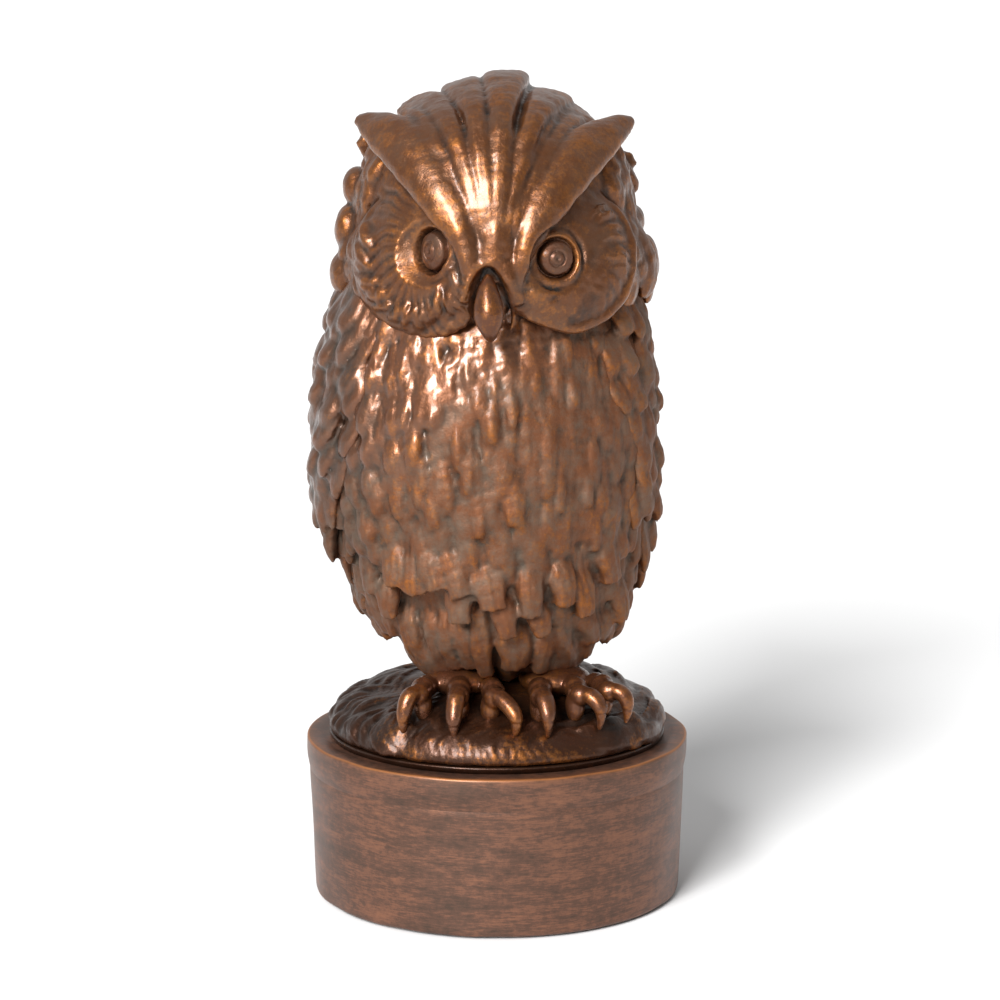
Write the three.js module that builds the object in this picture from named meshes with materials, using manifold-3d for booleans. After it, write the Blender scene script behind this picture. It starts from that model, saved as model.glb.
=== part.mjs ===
// Owl book end: a cast owl standing on a mound, bolted to a weighted round plinth.
// Millimetres, +Z up, origin at the centre of the felt's underside; the owl faces -Y.
// "left" and "right" are the owl's own sides, so left is +X.
import * as THREE from "three";
import { mergeVertices } from "three/addons/utils/BufferGeometryUtils.js";
import Module from "manifold-3d";

const wasm = await Module();
wasm.setup();

// ---------- driving dimensions ----------
const GAP = 0.3; // clearance left between pieces that touch
const RIM_R = 50; // plinth radius at the cap's lip
const PLINTH_H = 42; // top of the plinth cap
const DRUM_FOOT = 0.5; // height of the drum's lower rim above the table
const DRUM_FOOT_R = 48.1;
const DRUM_TOP = 33.5;
const DRUM_TOP_R = 49.2;
const DRUM_WALL = 6;
const FELT_T = 1.5;
const PLATE_R = 45;
const PLATE_TOP = 5.5;
const SCREW_RING_R = 36;
const SCREW_SHANK_R = 1.7;
const ROD_R = 3; // M6 tie rod
const ROD_HOLE_R = ROD_R + GAP;
const NUT_FLATS = 10;
const NUT_H = 5;
const WASHER_R = 6.5;
const WASHER_T = 1.6;
const MOUND_R = 44.5;
const MOUND_TOP = 58;
const MOUND_EDGE = 44.8; // height of the mound's skirt
const BODY_FLOOR = 66; // top of the floor inside the hollow body
const BODY_WALL = 6;
const NECK_Z = 158.3;
const NECK_HOLE_R = 20;
const HEAD_TOP = 212.6;
const HEAD_YAW = THREE.MathUtils.degToRad(-4); // the head looks a little to the owl's right
const HEAD_SHIFT_X = 0.8;

// Sections of the body from floor to neck: height, centre x, centre y, half width, half depth.
const BODY = [
  [MOUND_TOP + GAP, 0.5, 3, 19, 17],
  [62, 0.5, 2, 24, 22],
  [68, 0, 1.5, 29.5, 27.5],
  [76, -0.5, 1, 33.5, 32],
  [86, -1, 0.5, 36, 35.5],
  [98, -2, 0, 38.8, 38],
  [112, -2.5, 0, 40.5, 39.5],
  [126, -2.5, -0.5, 40.5, 39.5],
  [140, -2.5, -0.5, 38.8, 37.5],
  [150, -2, -0.5, 37, 34.5],
  [NECK_Z, -1.5, -0.5, 34.5, 31],
];

// Sections of the skull, in the head's own unturned frame.
const SKULL = [
  [NECK_Z + GAP, -0.8, 0, 37, 31],
  [165, -0.8, 0, 40.2, 33],
  [171, -0.8, 0, 38.6, 33],
  [178, -0.8, -0.5, 35.4, 32],
  [186, -0.8, -1, 34.2, 31.5],
  [194, -0.8, -1, 31, 30],
  [201, -0.8, 0, 26, 26.5],
  [207.5, -0.6, 1, 17, 18.5],
  [HEAD_TOP, -0.5, 1.5, 4, 5],
];

// ---------- solids ----------
// A three.js geometry as a manifold solid with its faces pointing out.
function solid(geometry) {
  const bare = new THREE.BufferGeometry();
  bare.setAttribute("position", geometry.getAttribute("position"));
  bare.setIndex(geometry.getIndex());
  const merged = mergeVertices(bare, 1e-4);
  const index = [];
  for (let i = 0; i < merged.index.count; i += 3) {
    const [a, b, c] = [0, 1, 2].map((k) => merged.index.getX(i + k));
    if (a !== b && b !== c && c !== a) index.push(a, b, c);
  }
  const build = (triangles) =>
    new wasm.Manifold(
      new wasm.Mesh({
        numProp: 3,
        vertProperties: new Float32Array(merged.attributes.position.array),
        triVerts: new Uint32Array(triangles),
      }),
    );
  const made = build(index);
  return made.volume() < 0 ? build(index.reverse()) : made;
}

// A manifold solid as a three.js geometry.
function geometryOf(made) {
  const mesh = made.getMesh();
  const geometry = new THREE.BufferGeometry();
  const positions = new Float32Array(mesh.numVert * 3);
  for (let i = 0; i < mesh.numVert; i++)
    for (let k = 0; k < 3; k++)
      positions[3 * i + k] = mesh.vertProperties[i * mesh.numProp + k];
  geometry.setAttribute("position", new THREE.BufferAttribute(positions, 3));
  geometry.setIndex([...mesh.triVerts]);
  geometry.computeVertexNormals();
  return geometry;
}

const union = (solids) => solids.reduce((a, b) => a.add(b));

// A casting without the small voids shut in between its lumps, or loose slivers.
const castSolid = (made) => union(made.decompose().filter((part) => part.volume() > 1));
const moved = (geometry, x, y, z) => geometry.translate(x, y, z);

// A turned solid about Z from a profile of [radius, height] pairs that starts and ends on the axis.
function turned(profile, segments = 40) {
  const points = profile.map(([r, z]) => new THREE.Vector2(r, z));
  return new THREE.LatheGeometry(points, segments).rotateX(Math.PI / 2);
}

// An upright cylinder standing on z.
function cylinder(radius, z, height, segments = 24) {
  const geometry = new THREE.CylinderGeometry(radius, radius, height, segments);
  return moved(geometry.rotateX(Math.PI / 2), 0, 0, z + height / 2);
}

// A row of numbers read from a table at height z, on a smooth curve through its rows.
function section(table, z) {
  const last = table.length - 2;
  let i = 0;
  while (i < last && z > table[i + 1][0]) i++;
  const t = THREE.MathUtils.clamp(
    (z - table[i][0]) / (table[i + 1][0] - table[i][0]),
    0,
    1,
  );
  const slope = (k, col) => {
    const a = table[Math.max(k - 1, 0)];
    const b = table[Math.min(k + 1, table.length - 1)];
    return (b[col] - a[col]) / (b[0] - a[0]);
  };
  const span = table[i + 1][0] - table[i][0];
  return [1, 2, 3, 4].map((col) => {
    const m0 = slope(i, col) * span;
    const m1 = slope(i + 1, col) * span;
    const [p0, p1] = [table[i][col], table[i + 1][col]];
    return (
      (2 * t ** 3 - 3 * t ** 2 + 1) * p0 +
      (t ** 3 - 2 * t ** 2 + t) * m0 +
      (3 * t ** 2 - 2 * t ** 3) * p1 +
      (t ** 3 - t ** 2) * m1
    );
  });
}

// A closed skin through a table's elliptical sections, thickened outwards by grow.
function loft(table, { grow = 0, from, to, rings = 13, segments = 28 } = {}) {
  const low = from ?? table[0][0];
  const high = to ?? table[table.length - 1][0];
  const geometry = new THREE.CylinderGeometry(1, 1, 1, segments, rings);
  geometry.rotateX(Math.PI / 2);
  const at = geometry.getAttribute("position");
  for (let i = 0; i < at.count; i++) {
    const z = low + (at.getZ(i) + 0.5) * (high - low);
    const [cx, cy, rx, ry] = section(table, z);
    at.setXYZ(i, cx + at.getX(i) * (rx + grow), cy + at.getY(i) * (ry + grow), z);
  }
  return solid(geometry);
}

// A tapered blade or claw along a smooth path. Each row: x, y, z, half width, half thickness.
// outward is the direction that the blade's flat face looks.
function blade(rows, outward, { rings = 8, segments = 8 } = {}) {
  const path = new THREE.CatmullRomCurve3(
    rows.map(([x, y, z]) => new THREE.Vector3(x, y, z)),
  );
  const sizes = new THREE.CatmullRomCurve3(
    rows.map(([, , , w, t]) => new THREE.Vector3(w, t, 0)),
  );
  const face = new THREE.Vector3(...outward).normalize();
  const geometry = new THREE.CylinderGeometry(1, 1, 1, segments, rings);
  const at = geometry.getAttribute("position");
  for (let i = 0; i < at.count; i++) {
    const u = at.getY(i) + 0.5;
    const along = path.getTangent(u);
    const side = new THREE.Vector3().crossVectors(along, face).normalize();
    const normal = new THREE.Vector3().crossVectors(side, along).normalize();
    const size = sizes.getPoint(u);
    const p = path
      .getPoint(u)
      .addScaledVector(side, at.getX(i) * Math.max(size.x, 0.2))
      .addScaledVector(normal, at.getZ(i) * Math.max(size.y, 0.2));
    at.setXYZ(i, p.x, p.y, p.z);
  }
  return solid(geometry);
}

// An ellipsoid at a centre.
function ellipsoid([x, y, z], [a, b, c], around = 18, high = 11) {
  const geometry = new THREE.SphereGeometry(1, around, high).scale(a, b, c);
  return solid(moved(geometry, x, y, z));
}

// A round peg or hole from point a to point b.
function peg(a, b, radius, segments = 12) {
  const start = new THREE.Vector3(...a);
  const end = new THREE.Vector3(...b);
  const geometry = new THREE.CylinderGeometry(
    radius,
    radius,
    start.distanceTo(end),
    segments,
  );
  const turn = new THREE.Quaternion().setFromUnitVectors(
    new THREE.Vector3(0, 1, 0),
    end.clone().sub(start).normalize(),
  );
  geometry.applyQuaternion(turn);
  const middle = start.add(end).multiplyScalar(0.5);
  return solid(moved(geometry, ...middle.toArray()));
}

// Puts a solid made in the head's own frame on the turned head.
function onHead(made) {
  return made
    .rotate([0, 0, THREE.MathUtils.radToDeg(HEAD_YAW)])
    .translate([HEAD_SHIFT_X, 0, 0]);
}

// ---------- plinth ----------
function feltPad() {
  return solid(cylinder(PLATE_R, 0, FELT_T, 48));
}

function screwPositions() {
  return [90, 210, 330].map((degrees) => {
    const angle = THREE.MathUtils.degToRad(degrees);
    return [SCREW_RING_R * Math.cos(angle), SCREW_RING_R * Math.sin(angle)];
  });
}

const PLATE_BOTTOM = FELT_T + GAP;
const SCREW_HEAD_R = 3.4;
const SCREW_TIP = 17;

function basePlate() {
  let plate = solid(cylinder(PLATE_R, PLATE_BOTTOM, PLATE_TOP - PLATE_BOTTOM, 48));
  for (const [x, y] of screwPositions()) {
    const r = SCREW_HEAD_R + GAP;
    const hole = turned(
      [
        [0, PLATE_BOTTOM - 1],
        [r, PLATE_BOTTOM - 1],
        [r, PLATE_BOTTOM + 0.4],
        [SCREW_SHANK_R + GAP, PLATE_BOTTOM + 2.4],
        [SCREW_SHANK_R + GAP, PLATE_TOP + 1],
        [0, PLATE_TOP + 1],
      ],
      16,
    );
    plate = plate.subtract(solid(moved(hole, x, y, 0)));
  }
  return plate;
}

function plateScrew(x, y) {
  const low = PLATE_BOTTOM + 0.1;
  const screw = turned(
    [
      [0, low],
      [SCREW_HEAD_R, low],
      [SCREW_HEAD_R, low + 0.3],
      [SCREW_SHANK_R, low + 2.2],
      [SCREW_SHANK_R, SCREW_TIP - 2],
      [0.3, SCREW_TIP],
      [0, SCREW_TIP],
    ],
    16,
  );
  const slot = (long, wide) => solid(moved(new THREE.BoxGeometry(long, wide, 1.6), x, y, low));
  return solid(moved(screw, x, y, 0)).subtract(slot(3.6, 0.9)).subtract(slot(0.9, 3.6));
}

function plinthDrum() {
  const rebate = PLATE_R + GAP;
  const wall = solid(
    turned(
      [
        [0, DRUM_FOOT],
        [DRUM_FOOT_R - 0.6, DRUM_FOOT],
        [DRUM_FOOT_R, DRUM_FOOT + 0.6],
        [DRUM_TOP_R, DRUM_TOP],
        [0, DRUM_TOP],
      ],
      56,
    ),
  );
  const cavity = solid(
    turned(
      [
        [0, -1],
        [rebate, -1],
        [rebate, PLATE_TOP + GAP],
        [DRUM_TOP_R - DRUM_WALL, PLATE_TOP + GAP],
        [DRUM_TOP_R - DRUM_WALL, DRUM_TOP + 1],
        [0, DRUM_TOP + 1],
      ],
      48,
    ),
  );
  let drum = wall.subtract(cavity);
  for (const [x, y] of screwPositions()) {
    const out = 1.16; // the boss is drawn out to meet the wall
    const boss = new THREE.BoxGeometry(8, 12, 20).rotateZ(Math.atan2(y, x) - Math.PI / 2);
    drum = drum.add(solid(moved(boss, x * out, y * out, PLATE_TOP + GAP + 10)));
    const round = moved(cylinder(4, PLATE_TOP + GAP, 20, 16), x, y, 0);
    const pilot = moved(cylinder(SCREW_SHANK_R + GAP, 0, SCREW_TIP + 1, 16), x, y, 0);
    drum = drum.add(solid(round)).subtract(solid(pilot));
  }
  const outside = solid(cylinder(DRUM_TOP_R * 2, -10, 100, 12)).subtract(wall);
  return drum.subtract(outside);
}

function plinthCap() {
  const low = DRUM_TOP + GAP;
  const spigot = DRUM_TOP_R - DRUM_WALL - GAP;
  const lid = PLINTH_H - 5; // underside of the lid
  const corner = [0, 1, 2, 3].map((i) => {
    const angle = (i / 3) * (Math.PI / 2);
    const r = 1.3;
    return [RIM_R - r + r * Math.cos(angle), PLINTH_H - r + r * Math.sin(angle)];
  });
  const profile = [
    [0, low - 4],
    [spigot, low - 4],
    [spigot, low],
    [RIM_R - 0.9, low],
    [RIM_R - 0.2, low + 2],
    ...corner,
    [0, PLINTH_H],
  ];
  const under = cylinder(spigot - 4, low - 5, lid - low + 5, 48);
  return solid(turned(profile, 56))
    .subtract(solid(under))
    .subtract(solid(cylinder(ROD_HOLE_R, 0, 100)));
}

function ballastSlug() {
  const low = PLATE_TOP + GAP;
  const profile = [
    [0, low],
    [29, low],
    [30.5, low + 1.5],
    [30.5, low + 16.5],
    [29, low + 18],
    [0, low + 18],
  ];
  return solid(turned(profile)).subtract(solid(cylinder(7, low + 10, 20)));
}

// ---------- tie rod ----------
const LOWER_WASHER_TOP = PLINTH_H - 5 - GAP;
const ROD_BOTTOM = 27;
const ROD_TOP = BODY_FLOOR + 2 * GAP + WASHER_T + NUT_H + 3;

function hexNut(z) {
  const nut = new THREE.CylinderGeometry(1, 1, NUT_H, 6).scale(
    NUT_FLATS / Math.sqrt(3),
    1,
    NUT_FLATS / Math.sqrt(3),
  );
  const body = solid(moved(nut.rotateX(Math.PI / 2), 0, 0, z + NUT_H / 2));
  return body.subtract(solid(cylinder(ROD_HOLE_R, z - 1, NUT_H + 2)));
}

function washer(z) {
  const disc = solid(cylinder(WASHER_R, z, WASHER_T));
  return disc.subtract(solid(cylinder(ROD_HOLE_R, z - 1, WASHER_T + 2)));
}

function tieRod() {
  return solid(
    turned(
      [
        [0, ROD_BOTTOM],
        [ROD_R - 0.6, ROD_BOTTOM],
        [ROD_R, ROD_BOTTOM + 0.6],
        [ROD_R, ROD_TOP - 0.6],
        [ROD_R - 0.6, ROD_TOP],
        [0, ROD_TOP],
      ],
      20,
    ),
  );
}

// ---------- mound ----------
// Height of the mound's top surface at a point, above the table.
function moundHeight(x, y) {
  const reach = Math.hypot(x, y);
  const r = reach / MOUND_R;
  const angle = Math.atan2(y, x);
  const fall = Math.sqrt(Math.max(0, 1 - (reach / (MOUND_R - 0.4)) ** 2));
  const dome = MOUND_EDGE + (MOUND_TOP - MOUND_EDGE) * fall;
  const swell = 0.7 * Math.sin(3 * angle + 0.6) + 0.5 * Math.sin(5 * angle - 1);
  return dome + swell * r * r * (1 - r * r) * 3;
}

// The whole mound, raised by lift so that what stands on it can be cut to its shape.
function moundBlock(lift = 0) {
  const rings = 7;
  const step = MOUND_R - 1.1; // radius of the thin round step under the skirt
  const rows = [[0, PLINTH_H + GAP]];
  rows.push([step, PLINTH_H + GAP], [step, PLINTH_H + 1.4], [MOUND_R - 0.4, PLINTH_H + 1.8]);
  for (let i = 0; i <= rings; i++)
    rows.push([(MOUND_R - 0.4) * Math.sin((Math.PI / 2) * (1 - i / rings)), MOUND_TOP]);
  const geometry = turned(rows, 36);
  const at = geometry.getAttribute("position");
  for (let i = 0; i < at.count; i++) {
    const [x, y, z] = [at.getX(i), at.getY(i), at.getZ(i)];
    const top = z > PLINTH_H + 3 ? moundHeight(x, y) : z;
    at.setZ(i, top + lift);
  }
  return solid(geometry);
}

function groundMound() {
  const flat = solid(cylinder(22, MOUND_TOP, 20)); // seat for the body's floor
  return moundBlock()
    .subtract(flat)
    .subtract(solid(cylinder(ROD_HOLE_R, 0, 100)))
    .subtract(footPeg(1, FOOT_PEG_R + GAP))
    .subtract(footPeg(-1, FOOT_PEG_R + GAP));
}

// ---------- feet ----------
const FOOT_PEG_R = 1.8;

// Each toe's root, knuckle and claw tip; side is +1 for the owl's left foot and -1 for its right.
const TOES = {
  "-1": [
    { root: [-16, -18, 58.5], knuckle: [-19.8, -30.6, 58.8], tip: [-23.4, -34.4, 49.2] },
    { root: [-9.4, -18, 58.5], knuckle: [-9.8, -33.2, 58.8], tip: [-10.8, -38.6, 48.8] },
    { root: [-3, -18, 58.5], knuckle: [-0.6, -33, 58.4], tip: [4.6, -38.6, 49.6] },
  ],
  1: [
    { root: [11.4, -18, 58.5], knuckle: [11.2, -33, 58.6], tip: [12.8, -38.6, 49.8] },
    { root: [17.5, -18, 58.5], knuckle: [21.2, -30.8, 58.6], tip: [26, -34, 50.8] },
    { root: [22, -16, 58.5], knuckle: [28.4, -27.4, 58.8], tip: [32.8, -29.6, 51.4] },
  ],
};
const FOOT_PAD = { "-1": [-9, -16, 59.5], 1: [15, -15, 59.5] };

// One toe with its knuckle, the pad under the knuckle and its hooked claw, as one solid.
function toe({ root, knuckle, tip }) {
  const [kx, ky, kz] = knuckle;
  const out = new THREE.Vector2(tip[0] - kx, tip[1] - ky).normalize();
  const digit = blade(
    [
      [...root, 3, 3],
      [(root[0] + kx) / 2, (root[1] + ky) / 2, (root[2] + kz) / 2 + 0.5, 2.9, 2.9],
      [kx, ky, kz, 2.7, 2.6],
    ],
    [0, 0, 1],
    { rings: 3 },
  );
  const claw = blade(
    [
      [kx - out.x * 0.4, ky - out.y * 0.4, kz + 0.9, 2.1, 1.9],
      [kx + out.x * 3.2, ky + out.y * 3.2, kz + 0.4, 2.4, 2.1],
      [tip[0], tip[1], tip[2] + 6, 2, 1.9],
      [tip[0] + out.x * 0.3, tip[1] + out.y * 0.3, tip[2] + 2.8, 1.2, 1.25],
      [tip[0] - out.x * 0.2, tip[1] - out.y * 0.2, tip[2], 0.5, 0.5],
    ],
    [0, 0, 1],
    { rings: 6 },
  );
  const joint = ellipsoid([kx, ky, kz + 0.3], [2.9, 2.8, 2.8], 8, 5);
  const pad = ellipsoid([kx - out.x * 1.6, ky - out.y * 1.6, kz - 2.6], [2.5, 2.7, 4.4], 8, 5);
  return union([digit, claw, joint, pad]);
}

function foot(side) {
  const pad = ellipsoid(FOOT_PAD[side], [9.5, 8, 4], 14, 7);
  const blob = union([pad, ...TOES[side].map(toe)]);
  const clear = castSolid(blob.subtract(moundBlock(GAP)).subtract(bodyBlock(GAP)));
  return clear.add(footPeg(side, FOOT_PEG_R));
}

// The peg that holds a foot to the mound, or the hole for it.
function footPeg(side, radius) {
  const [x, y] = [side * 20, -25];
  return peg([x, y, 50 - radius], [x, y, 59], radius);
}

// ---------- body, wings and tail ----------
// The feathered tops of the legs, one each side: centre and half sizes.
const THIGH = { at: [12.5, -8.5, 69.4], half: [12, 14.5, 11] };

// The outside of the body, grown outwards so that its neighbours can be cut to clear it.
function bodyBlock(grow = 0) {
  const thighs = [-1, 1].map((side) => {
    const [x, y, z] = THIGH.at;
    return ellipsoid([side * x, y, z], THIGH.half.map((h) => h + grow));
  });
  return union([loft(BODY, { grow }), ...thighs]);
}

const WING_PEGS = [
  [12, 134],
  [16, 104],
];
const WING_INNER_X = 17; // the wings stop this far from the middle of the back
const TAIL_PEGS = [
  [-7, 84],
  [7, 84],
];

// Pegs of a wing, or the holes for them, across the body's wall.
function wingPegs(side, radius) {
  return union(
    WING_PEGS.map(([y, z]) => {
      const reach = bodySideX(side, y, z);
      return peg([reach - side * 4.5, y, z], [reach + side * 2, y, z], radius);
    }),
  );
}

// x of the body's flank at a given y and height.
function bodySideX(side, y, z) {
  const [cx, cy, rx, ry] = section(BODY, z);
  return cx + side * rx * Math.sqrt(Math.max(0, 1 - ((y - cy) / ry) ** 2));
}

function tailPegs(radius) {
  return union(TAIL_PEGS.map(([x, z]) => peg([x, 29, z], [x, 36.5, z], radius)));
}

// The ragged lower edge of the breast's coat: blocky tufts round the front.
// Each: degrees from the front, height of the tip, half width.
const COAT_HEM = [
  [-58, 86, 4.6],
  [-44, 81, 4.2],
  [-30, 87, 4.4],
  [-15, 80, 4.2],
  [0, 84, 4.6],
  [14, 79, 4.2],
  [29, 83, 4.4],
  [44, 77, 4.4],
  [58, 82, 4.6],
];

function hemTuft([degrees, tip, half]) {
  const row = (z, out, wide, thick) => [...onBody(1, degrees - 90, z, out), half * wide, thick];
  const angle = THREE.MathUtils.degToRad(degrees - 90);
  return blade(
    [row(tip + 15, -1.4, 0.7, 1.2), row(tip + 7, 0, 1, 1.9), row(tip, 1.1, 0.8, 1.5)],
    [Math.cos(angle), Math.sin(angle), 0.15],
    { rings: 2, segments: 6 },
  );
}

function owlBody() {
  const inner = loft(BODY, { grow: -BODY_WALL, from: BODY_FLOOR, to: NECK_Z - 6, rings: 7, segments: 20 });
  const neck = solid(moved(cylinder(NECK_HOLE_R, NECK_Z - 20, 30), -0.5, -1, 0));
  return castSolid(union([bodyBlock(), ...COAT_HEM.map(hemTuft)]))
    .subtract(inner)
    .subtract(neck)
    .subtract(solid(cylinder(ROD_HOLE_R, 0, 100)))
    .subtract(wingPegs(1, 2.5 + GAP))
    .subtract(wingPegs(-1, 2.5 + GAP))
    .subtract(tailPegs(2.5 + GAP));
}

// Rows of feathers on a wing, from the shoulder down: height of the tips, length, half width,
// and the angles round the body at which they lie (0 is the flank, minus is toward the breast).
const WING_ROWS = [
  { tip: 139, long: 16, half: 6, angles: [-22, 8, 38] },
  { tip: 123.5, long: 24, half: 6.5, angles: [-30, 0, 30] },
  { tip: 107, long: 26, half: 6.5, angles: [-20, 8, 36] },
  { tip: 88, long: 30, half: 6, angles: [-2, 22, 44] },
  { tip: 74, long: 34, half: 5.5, angles: [12, 38] },
];

// A point on the body's skin at an angle round it and a height, moved outwards by out.
function onBody(side, degrees, z, out) {
  const [cx, cy, rx, ry] = section(BODY, z);
  const angle = THREE.MathUtils.degToRad(degrees);
  return [cx + side * (rx + out) * Math.cos(angle), cy + (ry + out) * Math.sin(angle), z];
}

function wingFeather(side, { tip, long, half }, degrees, thick) {
  const angle = THREE.MathUtils.degToRad(degrees);
  const back = long * 0.35; // degrees that the tip is swept toward the tail
  return blade(
    [
      [...onBody(side, degrees - back, tip + long, thick - 3), half * 0.5, 1.5],
      [...onBody(side, degrees - back * 0.6, tip + long * 0.6, thick - 2), half, 2.4],
      [...onBody(side, degrees - back * 0.2, tip + long * 0.22, thick - 1.6), half * 0.9, 2.4],
      [...onBody(side, degrees, tip, thick - 0.8), half * 0.15, 0.8],
    ],
    [side * Math.cos(angle), Math.sin(angle), 0.15],
    { rings: 4, segments: 8 },
  );
}

// A wing is the part of a thicker body skin that lies inside the wing's side outline,
// with its feathers lying over it.
function wing(side) {
  const thick = side < 0 ? 5 : 4;
  const outline = new THREE.Shape();
  outline.moveTo(-20, 144);
  outline.quadraticCurveTo(-12, 155, 6, 154);
  outline.quadraticCurveTo(24, 150, 30, 128);
  outline.quadraticCurveTo(34, 100, 30, 80);
  outline.quadraticCurveTo(24, 72, 14, 84);
  outline.quadraticCurveTo(-4, 92, -14, 104);
  outline.quadraticCurveTo(-25, 124, -20, 144);
  const prism = new THREE.ExtrudeGeometry(outline, {
    depth: 80,
    bevelEnabled: false,
    curveSegments: 5,
  });
  // The shape's x is the piece's y, and its y is the height.
  const turn = new THREE.Matrix4().makeBasis(
    new THREE.Vector3(0, 1, 0),
    new THREE.Vector3(0, 0, 1),
    new THREE.Vector3(1, 0, 0),
  );
  prism.applyMatrix4(turn);
  prism.translate(side < 0 ? -80 - WING_INNER_X : WING_INNER_X, 0, 0);
  const skin = loft(BODY, { grow: thick - 1.6, from: 68, to: 156, rings: 10 });
  const feathers = WING_ROWS.flatMap((row) =>
    row.angles.map((degrees) => wingFeather(side, row, degrees, thick)),
  );
  const middle = new THREE.BoxGeometry(2 * WING_INNER_X, 200, 300);
  return union([skin.intersect(solid(prism)), ...feathers])
    .subtract(bodyBlock(GAP))
    .subtract(solid(middle))
    .add(wingPegs(side, 2.5));
}

function tail() {
  const feathers = [-2, -1, 0, 1, 2].map((k) =>
    blade(
      [
        [k * 4, 32, 100, 4.5, 2.5],
        [k * 4.6, 36.5 - Math.abs(k) * 0.8, 82, 4.8, 2.8],
        [k * 5.4, 40 - Math.abs(k), 66, 5, 2.6],
        [k * 6, 42.5 - Math.abs(k) * 1.2, 54 + Math.abs(k), 4.2, 1.8],
      ],
      [0, 1, 0.2],
      { rings: 5, segments: 8 },
    ),
  );
  return union(feathers).subtract(bodyBlock(GAP)).subtract(moundBlock(GAP)).add(tailPegs(2.5));
}

// ---------- head ----------
// Each eye's place on the head, the degrees that it looks outwards and its socket's radius.
const EYES = {
  "-1": { at: [-14.2, -35.2, 171.7], turn: 50, r: 5.8 },
  1: { at: [16.4, -35.8, 170.2], turn: 20, r: 5.2 },
};

// The face discs: shallow lenses turned outwards and leaning back, one each side of the beak.
const DISC = {
  turn: THREE.MathUtils.degToRad(33),
  at: [16.8, -28.6, 170.8],
  half: [20.4, 6.6, 18.4], // half width, bulge and half height
  back: 9,
  lean: 0.2,
};

// Each brow with its ear tuft, from the bridge of the nose out to its tip.
const BROWS = {
  "-1": [
    [-4.4, -41.6, 170.5, 1.8, 1.4],
    [-6.4, -41.4, 175.4, 3.6, 2.4],
    [-9.4, -38.8, 181.9, 5.6, 3.2],
    [-13.4, -34.4, 188.6, 7, 3.8],
    [-18.4, -28.6, 194.2, 7.4, 4],
    [-24.8, -21.8, 198.8, 6.6, 3.6],
    [-31.4, -15, 201.6, 3.9, 2.4],
    [-35.2, -11.6, 202.6, 1.4, 1.2],
  ],
  1: [
    [8.6, -40.4, 170.5, 1.8, 1.4],
    [9.8, -40.2, 175, 3.6, 2.4],
    [12, -37.6, 181, 5.4, 3.2],
    [15.6, -33, 187.2, 6.4, 3.6],
    [20, -26.8, 193, 6.8, 3.8],
    [25.4, -19.4, 198, 5.9, 3.2],
    [31, -11.6, 201.2, 3.4, 2.2],
    [33.8, -8, 202.4, 1.4, 1.2],
  ],
};

// The crown's locks, each from the foot of the V to its end on top.
const CROWN = [
  [
    [-3.2, -41.4, 175.5, 1, 1.4],
    [-9.4, -36.6, 189.5, 2.6, 2.4],
    [-18.6, -19, 202.6, 2.9, 2.5],
    [-23.5, -10, 203.6, 1.8, 1.8],
  ],
  [
    [-1.2, -42, 175, 1, 1.4],
    [-6, -36.8, 191.5, 2.5, 2.6],
    [-15.2, -14, 205, 5.2, 3],
    [-24.4, 1, 204, 2.6, 2],
  ],
  [
    [0.8, -42.2, 174.5, 1, 1.4],
    [-1.9, -36.8, 193, 2.5, 2.6],
    [-7.4, -12, 208.6, 5.5, 3.2],
    [-10.4, 5, 208.6, 4.8, 2.4],
  ],
  [
    [2.6, -42.2, 174.5, 1, 1.4],
    [2.4, -36.5, 193, 2.6, 2.6],
    [1.8, -12, 209.8, 5.8, 3.4],
    [1.4, 5, 211, 5.4, 2.6],
  ],
  [
    [4.2, -41.8, 175, 1, 1.4],
    [6.8, -35.6, 191.8, 2.5, 2.6],
    [11.8, -12, 206, 5.4, 3.2],
    [13, 4, 206.4, 4.8, 2.4],
  ],
  [
    [6.2, -41, 175.5, 1, 1.4],
    [10.9, -34, 189.8, 2.4, 2.4],
    [18.4, -13, 201.4, 3.6, 2.6],
    [20.6, 1, 201, 2.6, 2],
  ],
];

// Rounded lobes behind the face: centre and half size.
const RUFF = [
  [[36.4, 3, 165.5], [4.4, 8.5, 7.6]],
  [[33.4, 1, 176.5], [3.8, 7, 4.2]],
  [[-36.6, -1, 185], [3.8, 6.5, 5.2]],
  [[-38.2, -2, 174], [4.2, 7.5, 6.8]],
  [[-39.2, -3, 163], [4.4, 7.5, 6.2]],
];

// Tufts that stand out behind each brow.
const NAPE = [
  [[-24, 8, 188, 4.8, 3], [-31, 4, 193.5, 4.6, 2.8], [-35.6, 1, 197.5, 2.2, 1.4]],
  [[24, 10, 186, 4.8, 3], [30, 8, 190, 4, 2.6], [34, 6, 192, 2, 1.4]],
];

// The bridge of the nose and its two legs, which fork round the beak, and the forehead behind it.
const BRIDGE = [
  [2, -38.8, 183, 2.4, 1.6],
  [1.8, -40.1, 175.5, 5, 2.6],
  [1.4, -40.4, 170.5, 5.6, 3],
  [0.9, -40, 164, 4.4, 3],
];
const BRIDGE_LEGS = [
  [[-2.8, -41.8, 169.5, 2.8, 2.4], [-4.6, -41.8, 164.5, 2.2, 2.4], [-6.2, -40.6, 160, 1.5, 2.2]],
  [[4.2, -41.4, 169.5, 2.8, 2.4], [5.6, -41, 164.5, 2.4, 2.6], [7.4, -39.4, 159.5, 1.8, 2.4]],
];
const FOREHEAD = [
  [1.5, -36.8, 181, 7, 3],
  [1.2, -32.6, 191.6, 10, 3.4],
  [1, -22, 201, 14, 3.6],
  [0, -8, 205, 16, 3.2],
];

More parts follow.
